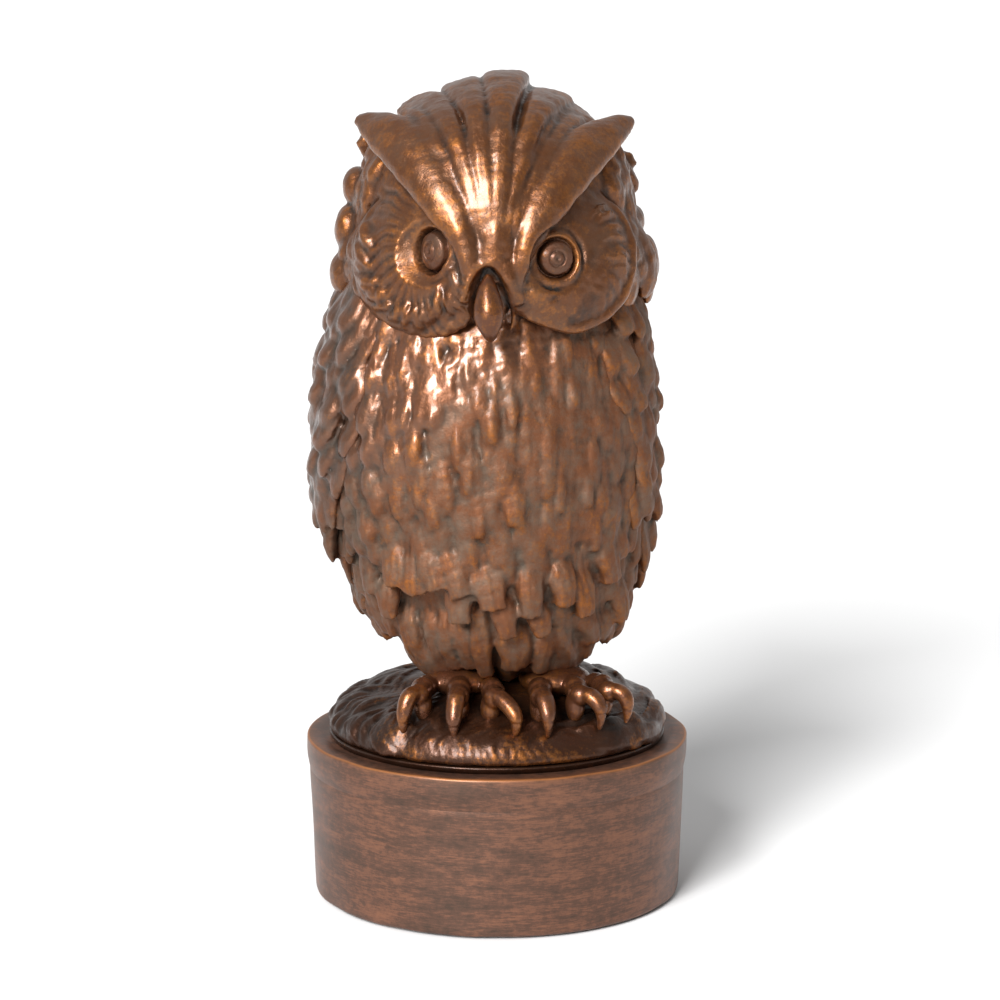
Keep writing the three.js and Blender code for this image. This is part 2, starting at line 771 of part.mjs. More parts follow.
function faceDisc(side) {
  const [wide, bulge, high] = DISC.half;
  const profile = [
    [0, -DISC.back],
    [1, -DISC.back],
    [1, 0],
  ];
  for (const degrees of [22, 42, 60, 76, 90]) {
    const angle = THREE.MathUtils.degToRad(degrees);
    profile.push([Math.max(Math.cos(angle), 1e-9), bulge * Math.sin(angle)]);
  }
  profile[profile.length - 1][0] = 0;
  const geometry = turned(profile, 24);
  const at = geometry.getAttribute("position");
  const [sin, cos] = [Math.sin(DISC.turn), Math.cos(DISC.turn)];
  const [x, y, z] = DISC.at;
  for (let i = 0; i < at.count; i++) {
    const across = at.getX(i) * wide;
    const up = at.getY(i) * high;
    const out = at.getZ(i) - DISC.lean * up;
    at.setXYZ(i, side * (x + across * cos + out * sin), y + across * sin - out * cos, z + up);
  }
  return solid(geometry);
}

// A turned profile of [radius, distance along the eye's axis] put at an eye.
function atEye(side, profile, segments = 24) {
  const { at, turn } = EYES[side];
  const angle = THREE.MathUtils.degToRad(turn) * side;
  const out = new THREE.Vector3(Math.sin(angle), -Math.cos(angle), 0.02).normalize();
  const aim = new THREE.Quaternion().setFromUnitVectors(new THREE.Vector3(0, 0, 1), out);
  return solid(moved(turned(profile, segments).applyQuaternion(aim), ...at));
}

// An eye: a peg at the back, a groove round a domed iris, and a pupil with a dimple.
function eye(side) {
  const r = EYES[side].r - GAP;
  return onHead(
    atEye(side, [
      [0, -7],
      [2.2, -7],
      [2.2, -2],
      [r, -2],
      [r, -0.9],
      [r - 0.7, -0.6],
      [r * 0.8, 0.35],
      [r * 0.51, 1],
      [r * 0.41, 0.6],
      [r * 0.35, 0.9],
      [r * 0.24, 1.3],
      [0, 0.9],
    ]),
  );
}

function eyeSocket(side) {
  return atEye(side, [
    [0, -8],
    [2.5, -8],
    [2.5, -2 - GAP],
    [EYES[side].r, -2 - GAP],
    [EYES[side].r, 9],
    [0, 9],
  ]);
}

// The face is set back round each eye, and a low lid stands round the socket.
function eyeClearing(side) {
  const { r } = EYES[side];
  const profile = [
    [0, -0.2],
    [r + 2.2, -0.2],
    [r + 4.2, 4],
    [r + 4.2, 9],
    [0, 9],
  ];
  return atEye(side, profile, 20);
}

function eyeLid(side) {
  const { r } = EYES[side];
  const profile = [
    [0, -6],
    [r + 1.4, -6],
    [r + 1.4, 0],
    [r + 0.7, 0.6],
    [r + 0.1, 0.3],
    [0, 0.3],
  ];
  return atEye(side, profile, 20);
}

const BEAK = [
  [0.1, -42.6, 166.4, 1, 1.5],
  [0.2, -44.6, 163, 2.6, 2.8],
  [0.5, -46.4, 158, 3.7, 3.4],
  [0.7, -46.2, 154.4, 2.9, 2.8],
  [0.8, -44.8, 151.6, 1.4, 1.5],
  [0.9, -44.2, 150.6, 0.5, 0.6],
];

// The beak, with the tang that holds it in the head; grown for the opening that it sits in.
function beakSolid(grow = 0) {
  const rows = BEAK.map(([x, y, z, w, t]) => [x, y, z, w + grow, t + grow]);
  const tang = peg([0.4, -45, 160], [0.4, -33 + grow, 160], 1.8 + grow);
  return blade(rows, [0, -1, 0.1], { rings: 9, segments: 12 }).add(tang);
}

function owlHead() {
  const blob = union([
    loft(SKULL, { rings: 10 }),
    ellipsoid([1, -8, 167], [12.5, 32, 36], 14, 9),
    blade(FOREHEAD, [0, -0.75, 0.65], { rings: 4, segments: 10 }),
    blade(BRIDGE, [0.03, -1, 0.1], { rings: 5, segments: 10 }),
    ...[-1, 1].map(faceDisc),
    ...BRIDGE_LEGS.map((rows, i) => blade(rows, [i ? 0.3 : -0.3, -1, 0], { rings: 4 })),
    ...[-1, 1].map((side) => blade(BROWS[side], [side * 0.2, -0.8, 0.56], { rings: 8, segments: 10 })),
    ...CROWN.map((rows) => blade(rows, [rows[3][0] * 0.012, -0.6, 0.8], { rings: 7, segments: 8 })),
    ...RUFF.map(([centre, half]) => ellipsoid(centre, half, 10, 7)),
    ...NAPE.map((rows, i) => blade(rows, [i ? 0.3 : -0.3, -1, 0.2], { rings: 4 })),
  ]);
  const spigot = solid(moved(cylinder(NECK_HOLE_R - GAP, NECK_Z - 6, 14), -1.3, -1, 0));
  const hollow = ellipsoid([0, -1, 168], [13, 12, 28]);
  let head = castSolid(onHead(blob).subtract(bodyBlock(GAP)));
  head = head.add(onHead(spigot)).subtract(onHead(hollow));
  for (const side of [-1, 1]) {
    head = head.subtract(onHead(eyeClearing(side)));
    head = head.add(onHead(eyeLid(side)));
    head = head.subtract(onHead(eyeSocket(side)));
  }
  return castSolid(head.subtract(onHead(beakSolid(GAP))));
}

// ---------- assembly ----------
const bronze = new THREE.MeshStandardMaterial({ color: 0x6b4029, roughness: 0.38, metalness: 0.85 });
const horn = new THREE.MeshStandardMaterial({ color: 0x7d4a2c, roughness: 0.22, metalness: 0.9 });
const plinthBronze = new THREE.MeshStandardMaterial({ color: 0x62402f, roughness: 0.45, metalness: 0.8 });
const iron = new THREE.MeshStandardMaterial({ color: 0x3a3a3c, roughness: 0.7, metalness: 0.6 });
const steel = new THREE.MeshStandardMaterial({ color: 0x9a9a9c, roughness: 0.35, metalness: 1 });
const board = new THREE.MeshStandardMaterial({ color: 0x1d1c1b, roughness: 0.8, metalness: 0 });
const felt = new THREE.MeshStandardMaterial({ color: 0x2a211c, roughness: 1, metalness: 0 });

const bookEnd = new THREE.Group();

function add(name, made, material) {
  const mesh = new THREE.Mesh(geometryOf(made), material);
  mesh.name = name;
  bookEnd.add(mesh);
}

add("felt_pad", feltPad(), felt);
add("base_plate", basePlate(), board);
screwPositions().forEach(([x, y], i) => add(`plate_screw_${i + 1}`, plateScrew(x, y), steel));
add("ballast_slug", ballastSlug(), iron);
add("plinth_drum", plinthDrum(), plinthBronze);
add("plinth_cap", plinthCap(), plinthBronze);
add("tie_rod", tieRod(), steel);
add("lower_washer", washer(LOWER_WASHER_TOP - WASHER_T), steel);
add("lower_nut", hexNut(LOWER_WASHER_TOP - WASHER_T - GAP - NUT_H), steel);
add("upper_washer", washer(BODY_FLOOR + GAP), steel);
add("upper_nut", hexNut(BODY_FLOOR + 2 * GAP + WASHER_T), steel);
add("ground_mound", groundMound(), bronze);
add("left_foot", foot(1), horn);
add("right_foot", foot(-1), horn);
add("owl_body", owlBody(), bronze);
add("left_wing", wing(1), bronze);
add("right_wing", wing(-1), bronze);
add("tail", tail(), bronze);
add("owl_head", owlHead(), bronze);
add("beak", onHead(beakSolid()), horn);
add("left_eye", eye(1), horn);
add("right_eye", eye(-1), horn);

export default bookEnd;
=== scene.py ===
"""The looks of the owl book end: sculpted pieces over the frame, their bronze finish, light and camera.

Sculpting is done in millimetres and scaled to metres when a piece is finished.
"""

import math
from functools import partial
from math import cos, pi, radians, sin

import bpy
import numpy as np
from mathutils import Matrix, Vector, kdtree


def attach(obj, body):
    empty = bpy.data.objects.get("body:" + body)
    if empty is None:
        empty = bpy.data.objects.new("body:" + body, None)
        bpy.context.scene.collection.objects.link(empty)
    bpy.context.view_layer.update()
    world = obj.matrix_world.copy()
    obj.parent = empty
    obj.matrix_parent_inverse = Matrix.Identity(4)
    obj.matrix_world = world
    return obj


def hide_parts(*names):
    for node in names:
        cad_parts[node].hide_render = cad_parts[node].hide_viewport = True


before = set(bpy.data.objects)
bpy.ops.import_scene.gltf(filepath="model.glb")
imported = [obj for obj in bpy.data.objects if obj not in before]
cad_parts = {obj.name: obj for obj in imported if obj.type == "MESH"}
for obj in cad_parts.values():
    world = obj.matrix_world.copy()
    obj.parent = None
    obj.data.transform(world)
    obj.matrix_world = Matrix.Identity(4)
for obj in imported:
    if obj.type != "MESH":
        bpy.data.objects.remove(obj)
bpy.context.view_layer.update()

MM = 0.001
rng = np.random.default_rng(11)

# ---------- shape of the object, in millimetres; sections within 1 mm of the solids' ----------
RIM_R = 50.0
PLINTH_H = 42.0
DRUM_TOP = 33.5
DRUM_TOP_R = 49.2
DRUM_FOOT_R = 48.1
MOUND_R = 44.5
MOUND_TOP = 58.0
HEAD_YAW = radians(-4)
HEAD_SHIFT_X = 0.8

# Sections: height, centre x, centre y, half width, half depth.
BODY = [
    (58.3, 0.5, 3, 19, 17), (62, 0.5, 2, 24, 22), (68, 0, 1.5, 29.5, 27.5), (76, -0.5, 1, 33.5, 32),
    (86, -1, 0.5, 36, 35.5), (98, -2, 0, 38.8, 38), (112, -2.5, 0, 40.5, 39.5),
    (126, -2.5, -0.5, 40.5, 39.5), (140, -2.5, -0.5, 38.8, 37.5), (150, -2, -0.5, 37, 34.5),
    (158.3, -1.5, -0.5, 34.5, 31),
]
SKULL = [
    (158.6, -0.8, 0, 37, 31), (165, -0.8, 0, 39.4, 33), (171, -0.8, 0, 38, 33),
    (178, -0.8, -0.5, 35, 32), (186, -0.8, -1, 34, 31.5), (194, -0.8, -1, 31, 30),
    (201, -0.8, 0, 26, 26.5), (207.5, -0.6, 1, 17, 18.5), (212, -0.5, 1.5, 4, 5),
]


def section(table, z):
    """Centre x, centre y, half width and half depth of a table's smooth skin at height z."""
    rows = np.array(table, float)
    i = int(np.clip(np.searchsorted(rows[:, 0], z, "right") - 1, 0, len(rows) - 2))
    span = rows[i + 1, 0] - rows[i, 0]
    t = float(np.clip((z - rows[i, 0]) / span, 0, 1))

    def slope(k):
        a = rows[max(k - 1, 0)]
        b = rows[min(k + 1, len(rows) - 1)]
        return (b[1:] - a[1:]) / (b[0] - a[0]) * span

    return (
        (2 * t**3 - 3 * t**2 + 1) * rows[i, 1:]
        + (t**3 - 2 * t**2 + t) * slope(i)
        + (3 * t**2 - 2 * t**3) * rows[i + 1, 1:]
        + (t**3 - t**2) * slope(i + 1)
    )


def skin(table, degrees, z, out=0.0):
    """A point on a skin. 0 degrees is the front, 90 the owl's left flank, 180 the back."""
    cx, cy, rx, ry = section(table, z)
    angle = radians(degrees)
    return np.array([cx + (rx + out) * sin(angle), cy - (ry + out) * cos(angle), z])


def outward(degrees):
    """The direction a skin faces at an angle round it, a little upwards."""
    angle = radians(degrees)
    return (sin(angle), -cos(angle), 0.15)


def around(count):
    """Angles all the way round, in radians."""
    return np.linspace(0, 2 * pi, count, endpoint=False)


def linked(name, data):
    """A new object in the scene."""
    obj = bpy.data.objects.new(name, data)
    bpy.context.scene.collection.objects.link(obj)
    return obj


# ---------- modelling clay ----------
def unit(vectors):
    """Vectors made one long."""
    return vectors / np.maximum(np.linalg.norm(vectors, axis=-1, keepdims=True), 1e-9)


def along_curve(rows, count):
    """Rows of numbers resampled on a smooth curve through them."""
    rows = np.array(rows, float)
    padded = np.vstack([2 * rows[0] - rows[1], rows, 2 * rows[-1] - rows[-2]])
    u = np.linspace(0, len(rows) - 1 - 1e-6, count)
    i = u.astype(int)
    t = (u - i)[:, None]
    p0, p1, p2, p3 = (padded[i + k] for k in range(4))
    return 0.5 * (
        2 * p1
        + (p2 - p0) * t
        + (2 * p0 - 5 * p1 + 4 * p2 - p3) * t**2
        + (3 * p1 - p0 - 3 * p2 + p3) * t**3
    )


class Clay:
    """Closed lumps that are later fused into one skin."""

    def __init__(self):
        self.points = []
        self.faces = []
        self.count = 0
        self.strokes = []

    def grid(self, rings):
        """Adds a lump from rings of points, closed at both ends."""
        rings = np.array(rings)
        n, m, _ = rings.shape
        faces = [
            [i * m + j, i * m + (j + 1) % m, (i + 1) * m + (j + 1) % m, (i + 1) * m + j]
            for i in range(n - 1)
            for j in range(m)
        ]
        faces.append(list(range(m))[::-1])
        faces.append([(n - 1) * m + j for j in range(m)])
        self.points.append(rings.reshape(-1, 3))
        self.faces.extend([[v + self.count for v in face] for face in faces])
        self.count += n * m

    def blade(self, rows, face, rings=9, points=10, power=2, groove=1.0):
        """A feather or lock along rows of (x, y, z, half width, half thickness).

        face is the way its flat side looks. power shapes its section: under 2 a lens, over 2 blocky;
        a pair of powers is for its two ends. groove scales the fine lines carved along it.
        """
        samples = along_curve(rows, rings)
        power = np.linspace(*power, rings)[:, None] if isinstance(power, tuple) else power
        path = samples[:, :3]
        size = np.maximum(samples[:, 3:5], 0.15)
        tangent = unit(np.gradient(path, axis=0))
        side = unit(np.cross(tangent, face))
        normal = np.cross(side, tangent)
        angle = around(points)
        across = np.sign(np.cos(angle)) * np.abs(np.cos(angle)) ** (2 / power)
        up = np.sign(np.sin(angle)) * np.abs(np.sin(angle)) ** (2 / power)
        self.grid(
            path[:, None]
            + side[:, None] * (across * size[:, :1])[..., None]
            + normal[:, None] * (up * size[:, 1:2])[..., None]
        )
        phase = rng.uniform(0, 6)
        for p, s, (w, t), n in zip(path, side, size, normal):
            self.strokes.append((*(p + n * t), *s, w, phase, groove))

    def blob(self, centre, half):
        """An ellipsoid."""
        rings = [
            [(sin(v) * cos(a), sin(v) * sin(a), -cos(v)) for a in around(28)]
            for v in np.linspace(0.02, pi - 0.02, 17)
        ]
        self.grid(np.array(rings) * half + centre)

    def loft(self, table, low, high, rings, grow=0.0):
        """The skin through a table's sections between two heights."""
        angles = np.linspace(0, 360, 96, endpoint=False)
        levels = np.linspace(low, high, rings)
        self.grid([[skin(table, a, z, grow) for a in angles] for z in levels])

    def turned(self, profile, points):
        """A solid turned about Z from pairs of radius and height."""
        self.grid([[(r * cos(a), r * sin(a), z) for a in around(points)] for r, z in profile])

    def mesh(self, name):
        """The lumps as they are."""
        made = bpy.data.meshes.new(name)
        made.from_pydata(np.vstack(self.points).tolist(), [], self.faces)
        return made

    def fused(self, name, voxel):
        """The lumps fused into one even skin, as a Sculpt."""
        holder = linked(name, self.mesh(name))
        modifier = holder.modifiers.new("fuse", "REMESH")
        modifier.mode = "VOXEL"
        modifier.voxel_size = voxel
        ready = holder.evaluated_get(bpy.context.evaluated_depsgraph_get())
        made = bpy.data.meshes.new_from_object(ready)
        bpy.data.objects.remove(holder)
        return Sculpt(name, outer_shell(made), self.strokes)


def read(items, key, width, kind=float):
    """Numbers that a mesh keeps for each of its items, as rows."""
    out = np.empty(len(items) * width, kind)
    items.foreach_get(key, out)
    return out.reshape(-1, width)


def outer_shell(made):
    """A mesh of four-sided faces without the small shells shut in between its lumps."""
    a, b = read(made.edges, "vertices", 2, int).T
    shell = np.arange(len(made.vertices))
    while np.any(shell[a] != shell[b]):
        low = np.minimum(shell[a], shell[b])
        np.minimum.at(shell, shell[a], low)
        np.minimum.at(shell, shell[b], low)
        shell = shell[shell]
    kept = shell == np.argmax(np.bincount(shell))
    faces = read(made.loops, "vertex_index", 1, int).reshape(-1, 4)
    faces = faces[kept[faces[:, 0]]]
    index = np.cumsum(kept) - 1
    outer = bpy.data.meshes.new(made.name)
    outer.from_pydata(read(made.vertices, "co", 3)[kept].tolist(), [], index[faces].tolist())
    bpy.data.meshes.remove(made)
    return outer


# Reach of a blade's fine lines, and the heights at which fine and broad relief count in full.
STROKE_REACH = 4.0
FINE_RELIEF = 0.22
BROAD_RELIEF = 0.8


class Sculpt:
    """A fused skin whose points can be pushed about."""

    def __init__(self, name, made, strokes=()):
        self.name = name
        self.mesh = made
        self.strokes = strokes
        self.at = read(made.vertices, "co", 3)
        self.ends = read(made.edges, "vertices", 2, int)
        self.degree = np.bincount(self.ends.ravel(), minlength=len(self.at))[:, None]

    def smoothed(self, at, times, amount=0.5):
        """Points relaxed toward the average of their neighbours."""
        a, b = self.ends.T
        for _ in range(times):
            total = [
                np.bincount(a, at[b, k], len(at)) + np.bincount(b, at[a, k], len(at)) for k in range(3)
            ]
            at = at + amount * (np.stack(total, axis=1) / self.degree - at)
        return at

    def smooth(self, times, amount=0.5):
        """Relaxes the skin."""
        self.at = self.smoothed(self.at, times, amount)

    def normals(self):
        """The outward direction at each point."""
        self.mesh.vertices.foreach_set("co", self.at.ravel())
        self.mesh.update()
        return read(self.mesh.vertex_normals, "vector", 3, np.float32).astype(float)

    def push(self, amount):
        """Moves each point outwards by its amount."""
        self.at = self.at + self.normals() * amount[:, None]

    def carve_strokes(self, spacing, depth):
        """Cuts fine lines that run along the blade nearest to each point."""
        tree = kdtree.KDTree(len(self.strokes))
        for i, stroke in enumerate(self.strokes):
            tree.insert(stroke[:3], i)
        tree.balance()
        index, far = np.array([tree.find(p)[1:] for p in self.at.tolist()]).T
        near = np.array(self.strokes)[index.astype(int)]
        across = np.einsum("ij,ij->i", self.at - near[:, :3], near[:, 3:6])
        wobble = 0.35 * wave(self.at, 5.0, 3)
        line = np.cos(2 * pi * (across + wobble) / spacing + near[:, 7])
        fade = np.clip(1.5 - far / STROKE_REACH, 0, 1) * near[:, 8]
        self.push(-depth * fade * (0.5 + 0.5 * line) ** 1.5)

    def finish(self, material, slot, replaced, placed=None, relief=None, shade=0.0):
        """Makes the piece that stands for solids: its relief, its place and its material.

        relief is 0 in hollows and 1 on edges; it is measured from the shape when not given.
        shade, up to 1, is where the colour is kept dark whatever the relief: painted shade on the owl's
        right flank and on the mound, patina never rubbed bright on the face.
        """
        if relief is None:
            out = self.normals()
            raised = np.einsum("ij,ij->i", self.at - self.smoothed(self.at, 5), out) / FINE_RELIEF
            raised += np.einsum("ij,ij->i", self.at - self.smoothed(self.at, 45), out) / BROAD_RELIEF
            relief = (0.5 + 0.5 * np.tanh(0.6 * raised)) * (1 - shade)
        if placed is not None:
            self.at = self.at @ np.array(placed.to_3x3()).T + np.array(placed.translation)
        self.mesh.vertices.foreach_set("co", (self.at * MM).ravel())
        layer = self.mesh.attributes.new("relief", "FLOAT", "POINT")
        layer.data.foreach_set("value", relief)
        self.mesh.polygons.foreach_set("use_smooth", [True] * len(self.mesh.polygons))
        self.mesh.update()
        self.mesh.materials.append(material)
        obj = linked(self.name, self.mesh)
        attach(obj, "root")
        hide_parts(*replaced)


def wave(points, size, seed):
    """Smooth uneven numbers from about -1 to 1 over space, with lumps of about the given size."""
    source = np.random.default_rng(seed)
    total = np.zeros(len(points))
    for _ in range(9):
        direction = unit(source.normal(size=3))
        length = size * source.uniform(0.7, 1.8)
        total += np.sin(points @ direction * (2 * pi / length) + source.uniform(0, 6.3))
    return total / 3.2


def step(low, high, values):
    """0 below low, 1 above high, smooth between."""
    t = np.clip((values - low) / (high - low), 0, 1)
    return t * t * (3 - 2 * t)


# ---------- feathers ----------
def feather(
    clay, table, degrees, tip, size, lift, lean=0.0, point=0.35, groove=1.0, base=0.0, power=1.8, end=0.4
):
    """One feather on a skin: angle and height of its tip, then (length, half width, half thickness).

    lift is how far the tip stands off, point and end are how wide and thick it still is there,
    and lean slants it.
    """
    length, half, thick = size
    rows = [
        (1.00, -1.6 * thick, 0.45, 0.7),
        (0.72, -0.55 * thick, 0.85, 1),
        (0.42, 0.35 * lift - 0.3 * thick, 1, 1),
        (0.15, 0.8 * lift - 0.3 * thick, 0.78, 0.85),
        (0.00, lift - 0.5 * thick, point, end),
    ]
    path = []
    for back, out, wide, deep in rows:
        turn = degrees - lean * back
        path.append((*skin(table, turn, tip + length * back, base + out), half * wide, thick * deep))
    clay.blade(path, outward(degrees), rings=8, points=8, power=power, groove=groove)


def feather_rows(clay, table, tips, span, size, lift, lean=0.0, jitter=1.0, **extra):
    """Staggered rows of feathers. span is the range of angles on both sides of the front."""
    low, high = span
    half = size[1]
    for row, tip in enumerate(tips):
        pitch = math.degrees(1.55 * half / section(table, tip)[2])
        offset = (row % 2) * pitch / 2
        for degrees in np.arange(low + offset, high, pitch):
            scale = rng.uniform(0.82, 1.2)
            place = degrees + rng.normal() * pitch * 0.14 * jitter, tip + rng.normal() * 1.1 * jitter
            grown = size[0] * rng.uniform(0.85, 1.2), half * scale, size[2] * scale
            stand = lift * rng.uniform(0.55, 1.4), lean + rng.normal() * 2.0
            feather(clay, table, *place, grown, *stand, **extra)


# ---------- finish ----------
def colour(hex_code):
    """A linear colour from a screen colour code."""
    parts = [int(hex_code[i : i + 2], 16) / 255 for i in (0, 2, 4)]
    return (*[c / 12.92 if c <= 0.04045 else ((c + 0.055) / 1.055) ** 2.4 for c in parts], 1)


class Nodes:
    """Short names for building a material."""

    def __init__(self, name):
        self.material = bpy.data.materials.new(name)
        self.material.use_nodes = True
        self.tree = self.material.node_tree
        self.shader = self.tree.nodes["Principled BSDF"]

    def node(self, kind, inputs=(), **settings):
        made = self.tree.nodes.new(kind)
        for key, value in settings.items():
            setattr(made, key, value)
        for key, value in dict(inputs).items():
            self.put(made.inputs[key], value)
        return made

    def put(self, socket, value):
        if isinstance(value, bpy.types.NodeSocket):
            self.tree.links.new(value, socket)
        else:
            socket.default_value = value

    def set(self, key, value):
        self.put(self.shader.inputs[key], value)

    def math(self, operation, a, b=0.0, c=0.0):
        return self.node("ShaderNodeMath", {0: a, 1: b, 2: c}, operation=operation).outputs[0]

    def mix(self, factor, a, b):
        return self.node("ShaderNodeMix", {0: factor, 6: a, 7: b}, data_type="RGBA").outputs[2]

    def range(self, value, low, high, to_low=0.0, to_high=1.0):
        inputs = {0: value, 1: low, 2: high, 3: to_low, 4: to_high}
        return self.node("ShaderNodeMapRange", inputs).outputs[0]

    def noise(self, vector, scale, detail, rough):
        inputs = {"Vector": vector, "Scale": scale, "Detail": detail, "Roughness": rough}
        return self.node("ShaderNodeTexNoise", inputs).outputs[0]

    def swing(self, value, noise, amount):
        """A value moved up and down by a noise."""
        return self.math("MULTIPLY_ADD", self.math("SUBTRACT", noise, 0.5), amount, value)

    def bump(self, strength, depth, height, **under):
        """The surface's direction roughened by a noise, to a depth in metres."""
        inputs = {"Strength": strength, "Distance": depth, "Height": height, **under}
        return self.node("ShaderNodeBump", inputs).outputs[0]

    def relief(self):
        """The height over the nearby surface that every piece brings along."""
        return self.node("ShaderNodeAttribute", attribute_name="relief").outputs["Fac"]

    def place(self, stretch=(1, 1, 1)):
        """Object coordinates in metres, stretched."""
        where = self.node("ShaderNodeTexCoord").outputs["Object"]
        return self.node("ShaderNodeMapping", {"Vector": where, "Scale": stretch}).outputs[0]


DARK = colour("1f1510")
BROWN = colour("5e3925")
COPPER = colour("a5662f")
DUSTY = colour("685e52")
# Noises of the finish: how many to the metre.
PATCHES = 60.0
HAZES = 150.0
BLOTCHES = 190.0
SPECKLES = 800.0


def bronze(name, gloss, wear, dust, brown=BROWN, dark=DARK, lacquer=0.2, dull=None):
    """Rubbed antique bronze: dark in the hollows, copper on what stands proud, dusty in patches.

    lacquer is how much of a clear coat lies over it, which shines white. dull is a pair of heights
    in metres: matt below the first, shining above the second, and lower down on the owl's right.
    """
    m = Nodes(name)
    relief = m.relief()
    where = m.place()
    patch = m.noise(where, PATCHES, 4.0, 0.6)
    blotch = m.noise(where, BLOTCHES, 5.0, 0.65)
    speckle = m.noise(where, SPECKLES, 4.0, 0.75)
    worn = m.swing(m.swing(m.swing(relief, patch, 1.3), blotch, 1.5), speckle, 2.0)
    hollow = m.swing(relief, blotch, -0.9)
    base = m.mix(m.range(hollow, 0.05, 0.5), dark, brown)
    rubbed = m.range(worn, 0.8 - 0.4 * wear, 1.5 - 0.4 * wear)
    tone = m.mix(m.math("MULTIPLY", rubbed, 0.75), base, COPPER)
    haze = m.range(m.noise(where, HAZES, 5.0, 0.75), 0.42, 0.66, 0.0, 0.6 * dust)
    m.set("Metallic", m.range(rubbed, 0.0, 1.0, 0.72, 0.95))
    rough = m.range(blotch, 0.3, 0.7, 0.46 - 0.26 * gloss, 0.66 - 0.26 * gloss)
    rough = m.math("MULTIPLY_ADD", speckle, 0.08, rough)
    if dull:
        axes = m.node("ShaderNodeSeparateXYZ", {0: where}).outputs
        height = m.swing(m.math("MULTIPLY_ADD", axes[0], -0.8, axes[2]), patch, 0.03)
        matt = m.range(height, dull[0], dull[1], 1.0, 0.0)
        rough = m.math("MULTIPLY_ADD", matt, 0.24, rough)
        lacquer = m.math("MULTIPLY_ADD", matt, -0.9 * lacquer, lacquer)
        haze = m.math("MULTIPLY", haze, m.range(matt, 0.0, 1.0, 0.25, 1.0))
    m.set("Base Color", m.mix(haze, tone, DUSTY))
    m.set("Roughness", rough)
    m.set("Coat Weight", lacquer)
    m.set("Coat Roughness", 0.32 - 0.16 * gloss)
    m.set("Normal", m.bump(0.4, 0.0003, speckle, Normal=m.bump(0.5, 0.0006, blotch)))
    return m.material


def drum_bronze(name):
    """The plinth's coat: faint horizontal brush streaks in browns, copper on the edges."""
    m = Nodes(name)
    relief = m.relief()
    streak = m.noise(m.place((1, 1, 6)), 45.0, 6.0, 0.7)
    fine = m.noise(m.place((1, 1, 8)), 300.0, 5.0, 0.75)
    where = m.place()
    patch = m.noise(where, 24.0, 3.0, 0.5)
    mottle = m.noise(where, 500.0, 3.0, 0.7)
    tone = m.swing(m.swing(m.swing(streak, fine, 0.9), patch, 0.4), mottle, 0.5)
    base = m.mix(m.range(tone, 0.25, 0.6), colour("4a392f"), colour("67483a"))
    base = m.mix(m.range(tone, 0.5, 0.95), base, colour("8d5f46"))
    m.set("Base Color", m.mix(m.math("MULTIPLY", relief, 0.7), base, colour("b8743c")))
    m.set("Metallic", 0.7)
    m.set("Roughness", m.range(fine, 0.3, 0.7, 0.44, 0.52))
    m.set("Coat Weight", 0.15)
    m.set("Coat Roughness", 0.3)
    m.set("Normal", m.bump(0.15, 0.0002, fine))
    return m.material


def plain(name, tone, roughness, metallic, grain_scale, grain=0.3):
    """A plain material with a little grain in its colour and roughness."""
    m = Nodes(name)
    grained = m.noise(m.place(), grain_scale, 4.0, 0.6)
    dark = (*[c * (1 - grain) for c in tone[:3]], 1)
    m.set("Base Color", m.mix(grained, dark, tone))
    m.set("Metallic", metallic)
    m.set("Roughness", m.range(grained, 0.2, 0.8, roughness - 0.08, roughness + 0.08))
    m.set("Normal", m.bump(0.3, 0.0001, grained))
    return m.material


OLIVE = colour("3c3027")
BODY_FINISH = bronze("body bronze", 0.85, 0.42, 1.0, colour("6f452c"), OLIVE, 0.6, (0.132, 0.148))
HEAD_FINISH = bronze("head bronze", 0.85, 0.6, 0.35, colour("653c20"), lacquer=0.35)
MOUND_FINISH = bronze("mound bronze", 0.85, 0.4, 0.1, colour("3f2313"), lacquer=0.15)
CLAW_FINISH = bronze("claw bronze", 1.0, 0.8, 0.0, lacquer=0.3)
EYE_FINISH = bronze("eye bronze", 0.75, 0.3, 0.5)
DRUM_FINISH = drum_bronze("plinth bronze")


# ---------- head ----------
# Place and turn of each eye; the owl's right eye (-1) is turned further out.
EYES = {-1: (-14.2, -35.2, 171.7, 50), 1: (16.4, -35.8, 170.2, 20)}
EYE_R = {-1: 5.6, 1: 5.0}
BEAK = [
    (0.1, -42.6, 166.4, 0.9, 1.4), (0.2, -44.6, 163, 2.6, 2.8), (0.5, -46.4, 158, 3.7, 3.4),
    (0.7, -46.2, 154.4, 2.9, 2.8), (0.8, -44.8, 151.6, 1.4, 1.5), (0.9, -44.2, 150.6, 0.5, 0.6),
]
# Each brow from the bridge of the nose out to its tip: place, half width and half thickness.
BROWS = {
    -1: [
        (-5.6, -41.8, 162, 1.3, 1.2), (-4.6, -42.2, 167.5, 2.2, 1.8), (-6, -41.6, 174.4, 3.4, 2.4),
        (-9.4, -38.8, 181.9, 5.6, 3.2), (-13.4, -34.4, 188.6, 7, 3.8),
        (-18.4, -28.6, 194.2, 7.4, 4), (-24.8, -21.8, 198.8, 6.6, 3.6),
        (-31.4, -15, 201.6, 3.9, 2.4), (-35.2, -11.6, 202.6, 1.6, 1.2),
    ],
    1: [
        (7, -40.6, 162, 1.4, 1.2), (7.4, -41.4, 167.5, 2.2, 1.8), (9.4, -40.6, 174.2, 3.4, 2.4),
        (12, -37.6, 181, 5.4, 3.2), (15.6, -33, 187.2, 6.4, 3.6), (20, -26.8, 193, 6.8, 3.8),
        (25.4, -19.4, 198, 5.9, 3.2), (31, -11.6, 201.2, 3.4, 2.2), (33.8, -8, 202.4, 1.4, 1.2),
    ],
}
